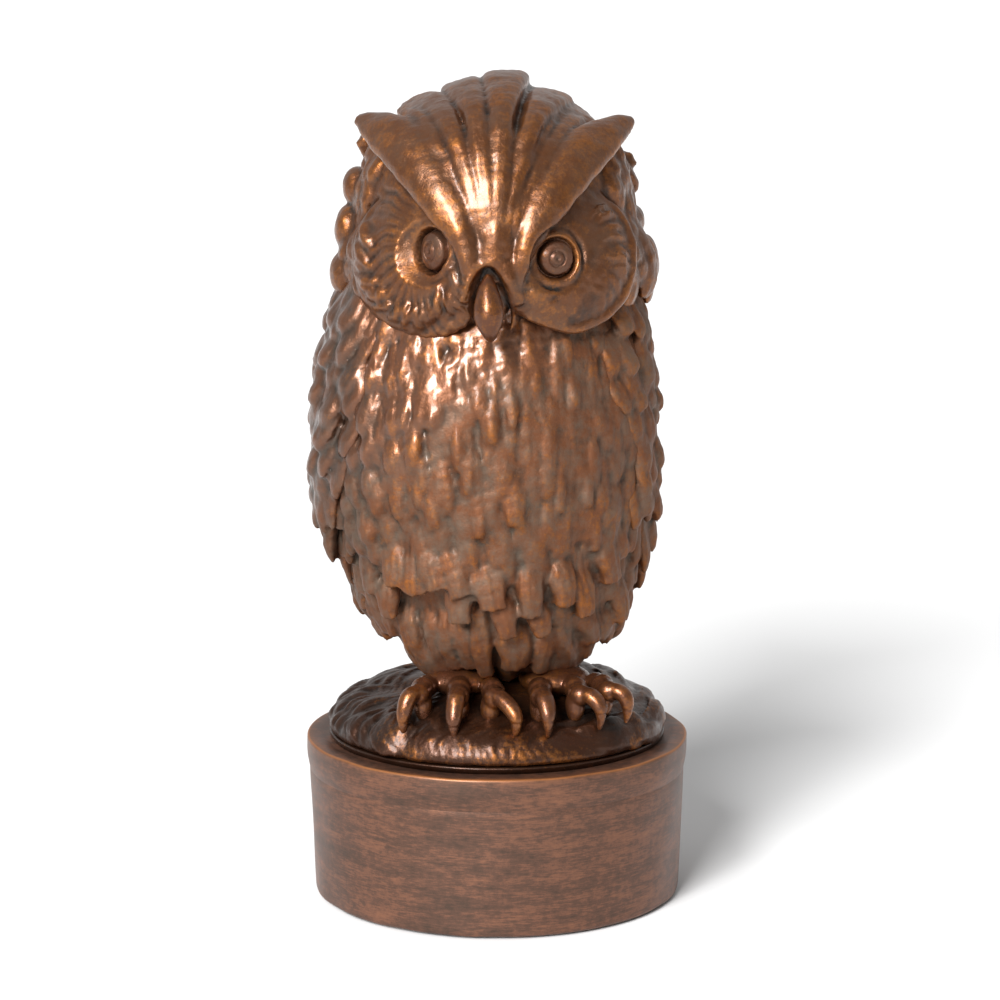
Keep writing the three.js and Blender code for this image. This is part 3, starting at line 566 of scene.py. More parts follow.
# The crown's locks, each from the foot of the V to its end on top.
CROWN = [
    [
        (-3.2, -41.6, 175.5, 0.6, 0.8), (-5.2, -40.7, 181, 2, 0.9), (-9.4, -36.3, 189.5, 2.6, 1.7),
        (-13.8, -28.8, 197.5, 2.2, 2.4), (-18.6, -19, 202.6, 2.3, 2.2), (-23.5, -10, 204, 1.6, 1.6),
    ],
    [
        (-1.2, -42.2, 175, 0.6, 0.8), (-2.7, -41.3, 181, 2.1, 0.9), (-6, -36.5, 191.5, 2.7, 1.8),
        (-10, -27.2, 200.8, 2.8, 2.8), (-15.2, -14, 205, 4.5, 2.8), (-19.8, -4, 205.2, 5, 2.6),
        (-25, 2, 204, 2.2, 1.8),
    ],
    [
        (0.8, -42.4, 174.5, 0.6, 0.8), (-0.2, -41.5, 181, 2.1, 0.9), (-1.9, -36.5, 193, 2.8, 1.8),
        (-4, -26.2, 203.4, 3, 3), (-7.4, -12, 208.6, 4.8, 3), (-9.6, 0, 209.6, 5.4, 2.8),
        (-10.4, 6, 208.8, 4.6, 2.2),
    ],
    [
        (2.6, -42.4, 174.5, 0.6, 0.8), (2.3, -41.4, 181, 2.1, 0.9), (2.4, -36.2, 193, 2.8, 1.8),
        (2.2, -25.8, 204, 3.4, 3.2), (1.8, -12, 210.2, 5.2, 3.4), (1.5, 0, 211.8, 6, 3),
        (1.4, 6, 211.2, 5.4, 2.4),
    ],
    [
        (4.2, -42, 175, 0.6, 0.8), (4.8, -40.9, 181, 2, 0.9), (6.8, -35.3, 191.8, 2.7, 1.8),
        (9.6, -25.2, 201.8, 3, 3), (11.8, -12, 206, 4.8, 3), (13, 0, 207, 5.6, 2.7),
        (13, 5, 206.4, 4.8, 2.2),
    ],
    [
        (6.2, -41.2, 175.5, 0.6, 0.8), (7.2, -40.3, 181, 1.4, 1.1), (10.9, -33.9, 189.8, 2, 1.9),
        (14.8, -25.2, 197, 2.2, 2.4), (18.4, -13, 201.4, 2.8, 2.4), (20.2, -3, 201.8, 3, 2.2),
        (20.8, 2, 200.8, 2.2, 1.8),
    ],
]
# Rounded lobes and tufts behind the face: centre and half size.
RUFF = [
    ((36.4, 3, 165.5), (4.4, 8.5, 7.6)), ((33.4, 1, 176.5), (3.8, 7, 4.2)),
    ((-36.6, -1, 185), (3.8, 6.5, 5.2)), ((-38.2, -2, 174), (4.2, 7.5, 6.8)),
    ((-39.2, -3, 163), (4.4, 7.5, 6.2)),
]
DISC_TURN = radians(33)
DISC_AT = (16.8, -28.6, 170.8)
DISC_HALF = (20.4, 6.6, 18.4)
DISC_TILT = 0.2
HEAD_PLACE = Matrix.Translation((HEAD_SHIFT_X, 0, 0)) @ Matrix.Rotation(HEAD_YAW, 4, "Z")


def eye_frame(side):
    """Where an eye's axis starts on the head, and its direction."""
    x, y, z, turn = EYES[side]
    angle = radians(turn) * side
    return np.array([x, y, z]), np.array([sin(angle), -cos(angle), 0.02])


def disc_point(side, across, up, out=0.0):
    """A point on a face disc, from its middle: across is away from the beak, up is up."""
    a, b, c = DISC_HALF
    inside = min(math.hypot(across / a, up / c), 1.25)
    bulge = b * math.sqrt(1 - inside**2) if inside < 1 else -b * 0.8 * (inside - 1)
    turn = DISC_TURN * side
    right = np.array([cos(turn), sin(turn), 0.0]) * side
    front = np.array([sin(turn), -cos(turn), 0.0])
    middle = np.array(DISC_AT) * (side, 1, 1)
    return middle + right * across + front * (bulge + out - DISC_TILT * up) + np.array([0, 0, up])


def disc_front(side):
    """The way a face disc looks."""
    turn = DISC_TURN * side
    return (sin(turn), -cos(turn), -DISC_TILT)


def disc_lens(clay, side):
    """The body of a face disc."""
    a, _, c = DISC_HALF
    rings = []
    for r in np.sin(np.linspace(0.02, pi / 2, 12)):
        ring = []
        for angle in around(48)[::side]:
            ring.append(disc_point(side, a * r * cos(angle), c * r * sin(angle)))
        rings.append(ring)
    back = [[p - np.array(disc_front(side)) * 9 for p in ring] for ring in rings[::-1]]
    clay.grid(rings + back)


def disc_rim(clay, side):
    """The thick edge of a face disc, from under the brow round to the beak."""
    a, _, c = DISC_HALF
    rows = []
    for degrees, half in ((60, 0.8), (28, 1.4), (0, 1.8), (-30, 1.9), (-60, 1.9), (-90, 1.8), (-125, 1.2)):
        angle = radians(degrees)
        p = disc_point(side, a * 0.965 * cos(angle), c * 0.965 * sin(angle), -0.6)
        rows.append((*p, half, half))
    clay.blade(rows, disc_front(side), rings=40, points=12, groove=0.2)


def disc_strands(clay, side, fan, count, start, end, half, thick, swirl):
    """Low curved strands that spread over a disc from the eye toward its rim."""
    a, _, c = DISC_HALF
    for degrees in np.linspace(*fan, count):
        angle = radians(degrees + rng.normal() * 2.0)
        wide = half * rng.uniform(0.7, 1.35)
        begin = start * rng.uniform(0.9, 1.25)
        rows = []
        for t, w, d in ((0, 0.35, 0.3), (0.3, 0.9, 0.9), (0.65, 1.0, 1.0), (1, 0.35, 0.4)):
            r = begin + (end - begin) * t * rng.uniform(0.95, 1.05)
            turn = angle + radians(swirl) * t
            across = -3.0 * (1 - r) + a * r * cos(turn)
            p = disc_point(side, across, c * r * sin(turn), -0.15)
            rows.append((*p, wide * w, thick * d))
        clay.blade(rows, disc_front(side), rings=9, points=8, power=1.6, groove=0.4)


def build_head():
    clay = Clay()
    clay.loft(SKULL, 158.7, 212, 40)
    for side in (-1, 1):
        disc_lens(clay, side)
        disc_rim(clay, side)
    # The middle of the face and the forehead under the locks.
    clay.blob((1, -8, 167), (12.5, 32, 36))
    rows = [
        (1.5, -38.4, 181, 6.5, 2.4), (1.2, -33.8, 191.6, 9.5, 3), (1, -22, 201, 14, 3.2),
        (0, -8, 205, 16, 3),
    ]
    clay.blade(rows, (0, -0.75, 0.65), rings=14, points=20, power=2.4, groove=0.0)
    # The bridge of the nose, forked round the beak.
    rows = [
        (1.9, -39.6, 184, 1.6, 1.4), (1.8, -40.5, 178, 4.2, 2.6), (1.6, -40.9, 173, 5.8, 2.9),
        (1.2, -41, 168, 5.8, 3), (0.9, -40.6, 164.5, 4.6, 2.6),
    ]
    clay.blade(rows, (0.03, -1, 0.1), rings=18, points=24, power=1.75, groove=0.0)
    rows = [(-2.8, -42, 169.5, 2.8, 2), (-4.6, -42.2, 164.5, 2.1, 2.2), (-6.2, -41.2, 160, 1.3, 1.8)]
    clay.blade(rows, (-0.3, -1, 0), rings=14, points=14, power=1.6, groove=0.0)
    rows = [(4.2, -41.8, 169.5, 2.8, 2), (5.6, -41.4, 164.5, 2.4, 2.4), (7.4, -39.8, 159.5, 1.8, 2.2)]
    clay.blade(rows, (0.3, -1, 0), rings=14, points=14, power=2, groove=0.0)
    for side in (-1, 1):
        face = side * 0.2, -0.8, 0.56
        clay.blade(BROWS[side], face, rings=30, points=22, power=(2.2, 1.6), groove=0.1)
    for lock in CROWN:
        face = lock[-1][0] * 0.012, -0.6, 0.8
        clay.blade(lock, face, rings=28, points=22, power=(1.9, 3.4), groove=0.5)
    for centre, half in RUFF:
        clay.blob(centre, half)
    # Tufts at the nape, then feathers down the back and round the neck.
    for side, rows in (
        (-1, [(-24, 8, 188, 4.5, 2.5), (-31, 4, 193.5, 4.6, 2.6), (-35.6, 1, 197.5, 2.4, 1.4)]),
        (1, [(24, 10, 186, 4.5, 2.5), (30, 8, 190, 4, 2.4), (34, 6, 192, 2, 1.2)]),
    ):
        clay.blade(rows, (side * 0.3, -1, 0.2), rings=14, points=14, power=1.7)
    feather_rows(clay, SKULL, np.arange(160, 194, 6), (100, 260), (14, 4.2, 1.6), 1.8)
    feather_rows(clay, SKULL, [194.5, 199], (120, 240), (9, 4, 1.6), 1.4, jitter=0.4)
    for side in (-1, 1):
        for degrees, tip, size, lift in (
            (76, 192, (12, 4.2, 2), 2.2), (66, 183, (12, 3.8, 1.6), 1.2),
            (78, 168.5, (13, 4.6, 2.2), 1.6), (80, 157.5, (15, 5.4, 2.8), 2.6),
            (64, 156, (14, 4.8, 2.2), 1.6), (96, 155, (14, 4.8, 2.4), 2.6),
        ):
            feather(clay, SKULL, side * degrees, tip, size, lift, point=0.55, groove=0.5)
    for span in ((-86, -62), (62, 86)):
        tips = np.arange(161, 190, 5.5)
        feather_rows(clay, SKULL, tips, span, (13, 3.4, 1.7), 1.5, point=0.5, groove=0.5)
    for start, end, low, high, count in ((0.84, 1.14, -150, -15, 18), (0.58, 1.0, -165, 0, 14)):
        disc_strands(clay, -1, (low, high), count, start, end, 1.6, 1.9, 26)
    disc_strands(clay, 1, (-150, 50), 18, 0.55, 0.9, 2.4, 0.2, -8)
    head = clay.fused("owl_head_skin", voxel=0.56)
    head.smooth(2, 0.4)
    for side in (-1, 1):
        carve_socket(head, side)
    carve_beak_gap(head)
    carve_disc(head)
    head.carve_strokes(spacing=2.2, depth=0.16)
    head.push(0.12 * wave(head.at, 8.0, 5) + 0.04 * wave(head.at, 2.2, 6))
    # Patches on the discs that were never rubbed bright.
    face = step(26, 32, -head.at[:, 1]) * (1 - step(172, 178, head.at[:, 2]))
    face *= step(0.1, 0.9, wave(head.at, 9.0, 7) + 0.25 * wave(head.at, 2.0, 8))
    shade = 0.45 * face * (0.35 + 0.65 * step(0, 8, head.at[:, 0]))
    head.finish(HEAD_FINISH, "bronze_finish", ["owl_head"], HEAD_PLACE, shade=shade)


def carve_socket(head, side):
    """The eye's socket, its lid and the trench round it."""
    at, out = eye_frame(side)
    rim = EYE_R[side]
    offset = head.at - at
    along = offset @ out
    flat = offset - along[:, None] * out
    radius = np.linalg.norm(flat, axis=1)
    front = step(-8, -4, along)
    # Round the eye the face is first cleared back, so that nothing stands in it.
    level = 0.8 * np.clip(along - 0.2, 0, 6) * (1 - step(rim + 0.4, rim + 3.2, radius)) * front
    head.at -= level[:, None] * out
    socket = (1 - step(rim - 0.3, rim + 0.4, radius)) * front
    lid = np.exp(-(((radius - rim - 0.9) / 0.6) ** 2)) * front
    trench = np.exp(-(((radius - rim - 2.3) / 0.7) ** 2)) * front * (0.6 + 0.5 * wave(head.at, 7.0, 95))
    head.push(-3.0 * socket + 0.35 * lid - 0.7 * trench)


def carve_disc(head):
    """Cuts fine swirling lines into the disc on the owl's right."""
    x, _, z, _ = EYES[-1]
    across = (head.at[:, 0] - x) / cos(DISC_TURN)
    up = head.at[:, 2] - z
    radius = np.hypot(across, up)
    angle = np.arctan2(up, -across)
    strand = np.cos(angle * 34 + 0.16 * radius * radius**0.5 + 1.2 * wave(head.at, 6.0, 92))
    reach = step(9, 14, radius) * (1 - step(20, 23, radius)) * step(8, 14, -head.at[:, 1])
    reach *= (1 - step(-6, -3, head.at[:, 0])) * (1 - step(0, 4, up - 4 + 1.05 * across))
    head.push(0.2 * reach * strand)


def carve_beak_gap(head):
    """Sets the head back round the beak."""
    gap = np.full(len(head.at), 99.0)
    for p in along_curve(BEAK, 30):
        gap = np.minimum(gap, np.hypot(head.at[:, 0] - p[0], head.at[:, 2] - p[2]) - p[3])
    front = step(26, 32, -head.at[:, 1])
    head.at[:, 1] += 5.0 * (1 - step(0.4, 1.9, gap)) * front


def build_beak():
    clay = Clay()
    clay.blade(BEAK, (0, -1, 0.1), rings=26, points=32, power=1.85)
    beak = clay.fused("beak_skin", voxel=0.25)
    beak.smooth(3)
    beak.push(0.05 * wave(beak.at, 5.0, 15))
    beak.finish(CLAW_FINISH, "polished_bronze", ["beak"], HEAD_PLACE)


def build_eye(side, name):
    """An eye: a groove, a domed iris, and a pupil with a dimple."""
    clay = Clay()
    profile = [
        (0.02, -5), (4.9, -5), (4.9, -1.6), (4.5, -1.9), (4.3, -1.2), (4.15, -0.1), (3.9, 0.35),
        (3.3, 0.7), (2.5, 1), (2.2, 0.95), (2, 0.55), (1.75, 0.9), (1.2, 1.3), (0.7, 1.25),
        (0.02, 0.9),
    ]
    scale = EYE_R[side] / 5
    clay.turned([(r * scale, z) for r, z in profile], 96)
    sculpt = clay.fused(name + "_skin", voxel=0.17)
    sculpt.smooth(2)
    sculpt.push(0.06 * wave(sculpt.at, 3.0, 20 + side))
    at, out = eye_frame(side)
    turn = Vector((0, 0, 1)).rotation_difference(Vector(out)).to_matrix().to_4x4()
    place = HEAD_PLACE @ Matrix.Translation(tuple(at)) @ turn
    sculpt.finish(EYE_FINISH, "polished_bronze", [name], place)


# ---------- body ----------
# Blocky tufts on the legs: sideways place and height of the tip, length, half width, lift and lean.
TUFTS = [
    (-26.5, 79, 12, 3.2, 2.6, 0), (-8.8, 79.9, 15, 3.7, 3.4, 0), (-0.8, 83.9, 13, 4.4, 3.2, 3),
    (2.2, 76, 14, 3.3, 3.2, 2), (8.4, 81.5, 16, 3.2, 3, 0), (11, 76.2, 10, 3.2, 2.6, 3),
    (-2.9, 64.2, 22, 2.5, 4.6, 0), (-18.3, 65, 18, 2.3, 3.4, 2), (4.5, 66.4, 14, 4.2, 3.8, 0),
    (10.8, 65, 15, 2.5, 3.6, -3), (18.6, 65.6, 17, 3.3, 3.2, 14), (25, 72, 15, 4.2, 3.2, 10),
    (30.5, 76.5, 15, 3.8, 2.8, 5), (-24.5, 88.5, 12, 3.6, 3, 0), (-19.5, 87, 12, 3.9, 3.2, 0),
    (-14, 88.8, 12, 4, 3.2, 3), (-8.6, 87.2, 14, 3.6, 3, 6), (16.2, 84, 14, 3.2, 2.8, 0),
    (21.5, 80.5, 14, 3.4, 2.8, 2), (-15.2, 67, 15, 2.2, 2.4, 0), (-11.4, 66, 17, 2.1, 2.6, 0),
    (-7.2, 66.4, 15, 2.2, 2.6, 2), (-22.6, 69, 14, 2.4, 2.4, 0), (-31, 85, 13, 3.2, 2.4, 0),
    (28, 88, 15, 3.6, 2.6, 4), (29, 70.5, 15, 3.8, 3, 8), (23.5, 67, 15, 3.2, 3, 8),
    (-28, 72.5, 13, 3, 2.2, -4),
]


# Ragged lower edge of the coat across the front: sideways place and height.
COAT_EDGE = [
    (-38, 80), (-31, 87.5), (-24, 89), (-16, 90), (-12, 87), (-11.2, 80.6), (-5.9, 80), (-5.4, 84),
    (2.6, 83.4), (3, 77), (5, 76), (5.4, 81.4), (10, 81), (10.6, 76), (18, 76), (20, 73), (24.4, 71),
    (30, 74.5), (33, 79), (38, 80),
]


def hang_coat(clay):
    """The lower part of the coat, which hangs over the legs down to its ragged edge."""
    across, heights = np.array(COAT_EDGE, float).T
    rings = []
    for degrees in np.linspace(-85, 85, 220):
        low = np.interp(skin(BODY, degrees, 82)[0], across, heights)
        levels = np.linspace(96, low, 12)
        outer = [skin(BODY, degrees, z, -0.5) for z in levels]
        inner = [skin(BODY, degrees, z, -5.0) for z in levels[::-1]]
        rings.append(outer + inner)
    clay.grid(rings)


def round_body(x, z):
    """The angle round the body at a sideways place and height on its front."""
    cx, _, rx, _ = section(BODY, z)
    return math.degrees(math.asin(np.clip((x - cx) / rx, -0.98, 0.98)))


def flank_painted_shade(sculpt):
    """How much painted shade darkens the colour on the owl's right flank."""
    return 0.5 * step(24, 38, -sculpt.at[:, 0])


def build_body():
    clay = Clay()
    clay.loft(BODY, 92, 158.2, 50, grow=-0.6)
    clay.loft(BODY, 58.6, 96, 24, grow=-3.8)
    for side in (-1, 1):
        clay.blob((side * 12.5, -8.5, 69), (12, 13.9, 11))
    # From the hem of the legs up to the throat, each row lies over the one below.
    plumes = partial(feather_rows, clay, BODY)
    hem = {"point": 0.8, "groove": 0.4, "end": 0.8}
    hang_coat(clay)
    plumes([61.5, 66], (-62, 62), (15, 3.6, 1.6), 0.9, jitter=1.8, base=-3.8, **hem)
    for span in ((-92, -60), (60, 92)):
        plumes([70, 75.5, 81], span, (13, 3.4, 2.2), 2.0, jitter=1.2, base=-1.2, **hem)
    plumes([66, 73, 80], (88, 272), (14, 3.6, 1.8), 1.4)
    for x, tip, length, half, lift, lean in TUFTS:
        size = (length, half * 1.15, 2.4)
        low = -2.2 if tip < 73 else 0.1
        place = round_body(x, tip), tip - 1.5
        feather(clay, BODY, *place, size, lift, lean, point=0.85, groove=0.8, base=low, power=2.4, end=0.9)
    plumes(np.arange(91, 136, 8), (-50, 56), (19, 3, 0.9), 0.3, jitter=2.6, point=0.7, groove=0.3)
    plumes(np.arange(134, 152, 5), (-54, 54), (16, 2.1, 1.2), 0.8, jitter=2, groove=0.6)
    plumes([150, 153.5], (-58, 58), (10, 1.5, 1.1), 1.0, jitter=1.8, groove=0.6)
    flank = {"point": 0.45, "groove": 0.5}
    plumes(np.arange(92, 152, 7), (50, 80), (16, 4, 1.7), 1.4, jitter=1.5, **flank)
    plumes(np.arange(90, 152, 6.5), (-80, -42), (15, 3.2, 1.9), 2.1, jitter=1.5, **flank)
    plumes(np.arange(88, 150, 8), (80, 280), (18, 4.4, 1.6), 1.6)
    # Single tongues that stand out of the soft belly.
    for _ in range(34):
        size = (rng.uniform(12, 18), rng.uniform(1.8, 2.8), 1.5)
        place = rng.uniform(-45, 52), rng.uniform(92, 134)
        feather(clay, BODY, *place, size, rng.uniform(1.0, 1.9), point=0.6, groove=0.3, power=2)
    body = clay.fused("owl_body_skin", voxel=0.62)
    body.smooth(2)
    body.carve_strokes(spacing=2.1, depth=0.2)
    wrinkles = wave(body.at * (1, 1, 0.4), 5.0, 33) * step(88, 100, body.at[:, 2])
    body.push(0.22 * wave(body.at, 9.0, 31) + 0.08 * wave(body.at, 2.8, 32) + 0.2 * wrinkles)
    # Painted shade darkens the colour on the owl's right flank.
    body.finish(BODY_FINISH, "bronze_finish", ["owl_body"], shade=flank_painted_shade(body))


# Front edge of a wing: height and angle round the body.
WING_EDGE = [(70, 118), (78, 98), (88, 84), (100, 72), (118, 62), (136, 56), (152, 54)]


def build_wing(side, name, node):
    """A folded wing: a slab on the flank under rows of pointed feathers."""
    thick = 4.2 if side < 0 else 2.8
    clay = Clay()
    heights, angles = np.array(WING_EDGE, float).T
    ramp = np.minimum(1.0, np.minimum(np.linspace(0, 3.2, 26) + 0.05, np.linspace(6, 0, 26) + 0.05))
    rings = []
    for z in np.linspace(74, 156, 26):
        low = np.interp(z, heights, angles) + 4
        high = 153.0 if z > 90 else 140.0
        around = np.linspace(low, high, 26)
        top = (thick - 0.4) * min(1.0, (157 - z) / 7, (z - 72) / 8 + 0.1)
        outer = [skin(BODY, side * a, z, -1.0 + (top + 1.0) * e) for a, e in zip(around, ramp)]
        inner = [skin(BODY, side * a, z, -2.0) for a in around[::-1]]
        rings.append(outer + inner)
    clay.grid(np.array(rings)[:, ::side])
    tips = np.concatenate([np.arange(73, 100, 6), np.arange(101, 154, 5.6)])
    for index, tip in enumerate(tips):
        high_up = step(80, 125, tip)
        length = 23 - 8 * high_up
        half = 3.8 + 0.7 * high_up
        low = np.interp(tip + 3, heights, angles) + rng.normal() * 2
        pitch = math.degrees(1.55 * half / 42)
        for degrees in np.arange(low + (index % 2) * pitch / 2, 156, pitch):
            scale = rng.uniform(0.8, 1.2)
            rise = min(1.0, 0.35 + (degrees - low) / 14)
            place = side * (degrees + rng.normal() * 1.4), tip + rng.normal() * 1.5
            size = length * rng.uniform(0.85, 1.15), half * scale, 2.0 * scale
            stand = 2.9 * rng.uniform(0.4, 1.5), side * (4 + rng.normal() * 2)
            feather(clay, BODY, *place, size, *stand, point=0.5, groove=0.5, base=(thick - 1.4) * rise)
    wing = clay.fused(name, voxel=0.68)
    wing.smooth(2)
    wing.carve_strokes(spacing=1.9, depth=0.16)
    wing.push(0.14 * wave(wing.at, 6.0, 41 + side) + 0.05 * wave(wing.at, 2.2, 43))
    # Painted shade darkens the colour on the owl's right flank.
    wing.finish(BODY_FINISH, "bronze_finish", [node], shade=flank_painted_shade(wing))


def build_tail():
    clay = Clay()
    for k in (-2, 2, -1, 1, 0):
        drop = abs(k)
        rows = [
            (k * 3.6, 32, 102, 3.5, 2.2), (k * 4.4, 36.5 - drop * 0.8, 84, 4.8, 2.6),
            (k * 5.2, 40 - drop, 68, 5.0, 2.4), (k * 5.8, 42.6 - drop * 1.2, 56 + drop, 4.2, 1.8),
            (k * 5.9, 43 - drop * 1.2, 53 + drop, 2.4, 1.0),
        ]
        clay.blade(rows, (0, 1, 0.2), rings=20, points=14, power=2, groove=1.4)
    tail = clay.fused("tail_skin", voxel=0.5)
    tail.smooth(2)
    tail.carve_strokes(spacing=1.8, depth=0.3)
    tail.push(0.1 * wave(tail.at, 6.0, 51))
    tail.finish(BODY_FINISH, "bronze_finish", ["tail"])


# ---------- feet ----------
# Each toe: its root, knuckle and claw tip.
RIGHT_TOES = [
    ((-17.8, -21, 59), (-19.8, -30.6, 58.8), (-23.4, -34.4, 49.2)),
    ((-9.6, -23, 59), (-9.8, -33.2, 58.8), (-10.8, -38.6, 48.8)),
    ((-1.4, -23, 59), (-0.6, -33, 58.4), (4.6, -38.6, 49.6)),
]
LEFT_TOES = [
    ((10.8, -23, 59), (11.2, -33, 58.6), (12.8, -38.6, 49.8)),
    ((19.2, -21, 59), (21.2, -30.8, 58.6), (26, -34, 50.8)),
    ((25.2, -18, 59), (28.4, -27.4, 58.8), (32.8, -29.6, 51.4)),
]


def build_foot(name, toes, pad):
    """A foot: toes that come from under the hem, round knuckles on pads, and hooked claws."""
    clay = Clay()
    clay.blob(pad, (9.5, 8, 4.0))
    up = np.array([0, 0, 1.0])
    for root, knuckle, tip in toes:
        root, knuckle, tip = np.array((root, knuckle, tip), float)
        out = unit((tip - knuckle) * (1, 1, 0))
        rows = [(*root, 3.0, 3.0), (*((root + knuckle) / 2 + up * 0.4), 2.7, 2.7), (*knuckle, 2.7, 2.6)]
        clay.blade(rows, (0, 0, 1), rings=12, points=14, groove=0.0)
        clay.blob((root + knuckle) / 2 + up * 0.6, (3.1, 2.6, 3.0))
        clay.blob(knuckle + up * 0.3, (2.9, 2.8, 2.8))
        clay.blob(knuckle - up * 2.6 - out * 1.6, (2.5, 2.7, 4.4))
        rows = [
            (*(knuckle - out * 0.4 + up * 0.9), 2.1, 1.9),
            (*(knuckle + out * 3.2 + up * 0.4), 2.4, 2.1), (*(tip + up * 6.0), 2.0, 1.9),
            (*(tip + out * 0.3 + up * 2.8), 1.2, 1.25), (*(tip - out * 0.2), 0.5, 0.5),
        ]
        clay.blade(rows, (0, 0, 1), rings=22, points=16, groove=0.0)
    foot = clay.fused(name + "_skin", voxel=0.33)
    foot.smooth(2)
    foot.push(0.06 * wave(foot.at, 4.0, 61))
    foot.finish(CLAW_FINISH, "polished_bronze", [name])


# ---------- mound and plinth ----------
MOUND_EDGE = 44.8


def mound_point(angle, out_along, lift=0.0):
    """A point over the mound: out_along is 0 at its top and 1 at its edge, a little more down the edge."""
    tip = min(out_along, 1.0) * pi / 2
    r = (MOUND_R - 0.4) * sin(tip)
    swell = 0.7 * sin(3 * angle + 0.6) + 0.5 * sin(5 * angle - 1)
    k = r / MOUND_R
    z = MOUND_EDGE + (MOUND_TOP - MOUND_EDGE) * cos(tip) + swell * k * k * (1 - k * k) * 3
    z -= max(0.0, out_along - 1.0) * 30
    r += lift * sin(tip)
    z += lift * cos(tip)
    return np.array([r * cos(angle), r * sin(angle), z])


def mound_strand(clay, angle, out_along, heading, length, half, thick, lift, power=1.9):
    """A strand of ground from a point in a direction: 0 heads outwards, pi / 2 round the mound."""
    rows = []
    for t, wide, deep in ((0, 0.3, 0.4), (0.3, 0.9, 0.9), (0.65, 1.0, 1.0), (1, 0.35, 0.3)):
        bend = heading + 0.4 * (t - 0.5)
        s = min(out_along + cos(bend) * length * t / 62, 0.97)
        a = angle + sin(bend) * length * t / (MOUND_R * max(s, 0.3))
        rows.append((*mound_point(a, s, lift * sin(pi * t) - 0.2), half * wide, thick * deep))
    outer = mound_point(angle, out_along, 1.0) - mound_point(angle, out_along)
    clay.blade(rows, outer, rings=12, points=10, power=power)


# Fields of strands on the mound: angles, distances out, heading, length, half width, thickness, count.
MOUND_FIELDS = [
    ((165, 222), (0.42, 0.78), (-0.45, 0.05), (15, 22), (1.1, 1.8), 1, 30),
    ((240, 292), (0.58, 0.70), (-0.55, -0.35), (13, 17), (1, 1.5), 0.45, 13),
    ((215, 250), (0.3, 0.6), (-0.3, 0.3), (10, 14), (1.6, 2.6), 0.8, 8),
    ((292, 365), (0.45, 0.9), (0.9, 1.5), (14, 22), (2.4, 3.8), 0.7, 13),
    ((5, 165), (0.3, 0.85), (0.5, 1.3), (14, 22), (1.6, 3), 0.9, 40),
]


def build_mound():
    clay = Clay()
    angles = around(160)
    grid = [[mound_point(a, 1.0) * (0.985, 0.985, 0) + (0, 0, 43.6) for a in angles]]
    for s in np.linspace(1.02, 0.02, 24):
        grid.append([mound_point(a, s) for a in angles])
    clay.grid(grid)
    for spread, reach, headings, lengths, halves, thick, count in MOUND_FIELDS:
        for k in range(count):
            degrees = spread[0] + (spread[1] - spread[0]) * (k + rng.uniform(0, 1)) / count
            place = radians(degrees), rng.uniform(*reach), rng.uniform(*headings)
            mound_strand(clay, *place, rng.uniform(*lengths), rng.uniform(*halves), thick, 0.2)
    # Broad folds at the front, where the ground laps over itself: angle, distance out, heading, size.
    for degrees, s, heading, length, half in (
        (230, 0.56, 0, 25, 6.6), (300, 0.72, 1.2, 16, 4), (318, 0.66, 0.5, 18, 4.6),
        (338, 0.78, 1.2, 16, 3.6),
    ):
        mound_strand(clay, radians(degrees), s, heading, length, half, 1.5, 0.5, power=2.2)
    mound = clay.fused("mound_skin", voxel=0.54)
    mound.smooth(3)
    mound.carve_strokes(spacing=2.2, depth=0.12)
    mound.push(0.12 * wave(mound.at, 6.0, 71))
    # Painted shadow: the colour is darkened under the claws, where their shade falls.
    under = np.exp(-(((mound.at[:, 1] + 28) / 6) ** 2)) * (1 - step(24, 32, np.abs(mound.at[:, 0] - 4)))
    # Painted shade darkens the mound's side on the owl's right.
    owl_right_painted_shade = 0.45 * step(18, 34, -mound.at[:, 0])
    shade = np.maximum(0.85 * under, owl_right_painted_shade)
    mound.finish(MOUND_FINISH, "bronze_finish", ["ground_mound"], shade=shade)
    # The thin round step that the mound stands on.
    low = PLINTH_H - 0.25
    profile = [(30, low), (43.6, low)] + corner(43.7, low + 1.3, 0.4, -60, 90, 5) + [(30, low + 1.72)]
    flange = turned_mesh("mound_step_skin", evened(profile), uneven=0.05, seed=83)
    flange.finish(MOUND_FINISH, "bronze_finish", ["ground_mound"], relief=np.full(len(flange.at), 0.35))


def turned_mesh(name, profile, uneven, seed):
    """A turned skin with rings placed as given, a little uneven like a hand-finished casting."""
    clay = Clay()
    clay.turned(profile, 220)
    sculpt = Sculpt(name, clay.mesh(name))
    sculpt.push(uneven * wave(sculpt.at, 14.0, seed))
    return sculpt


def corner(cx, cz, radius, start, end, count=7):
    """Points of a rounded corner on a turned profile, in degrees from outwards to up."""
    return [
        (cx + radius * cos(radians(a)), cz + radius * sin(radians(a)))
        for a in np.linspace(start, end, count)
    ]


def evened(profile):
    """A turned profile with points added so that none are much over 1.2 mm apart."""
    out = [profile[0]]
    for (r0, z0), (r1, z1) in zip(profile, profile[1:]):
        steps = max(1, int(math.hypot(r1 - r0, z1 - z0) / 1.2))
        out.extend((r0 + (r1 - r0) * k / steps, z0 + (z1 - z0) * k / steps) for k in range(1, steps + 1))
    return out


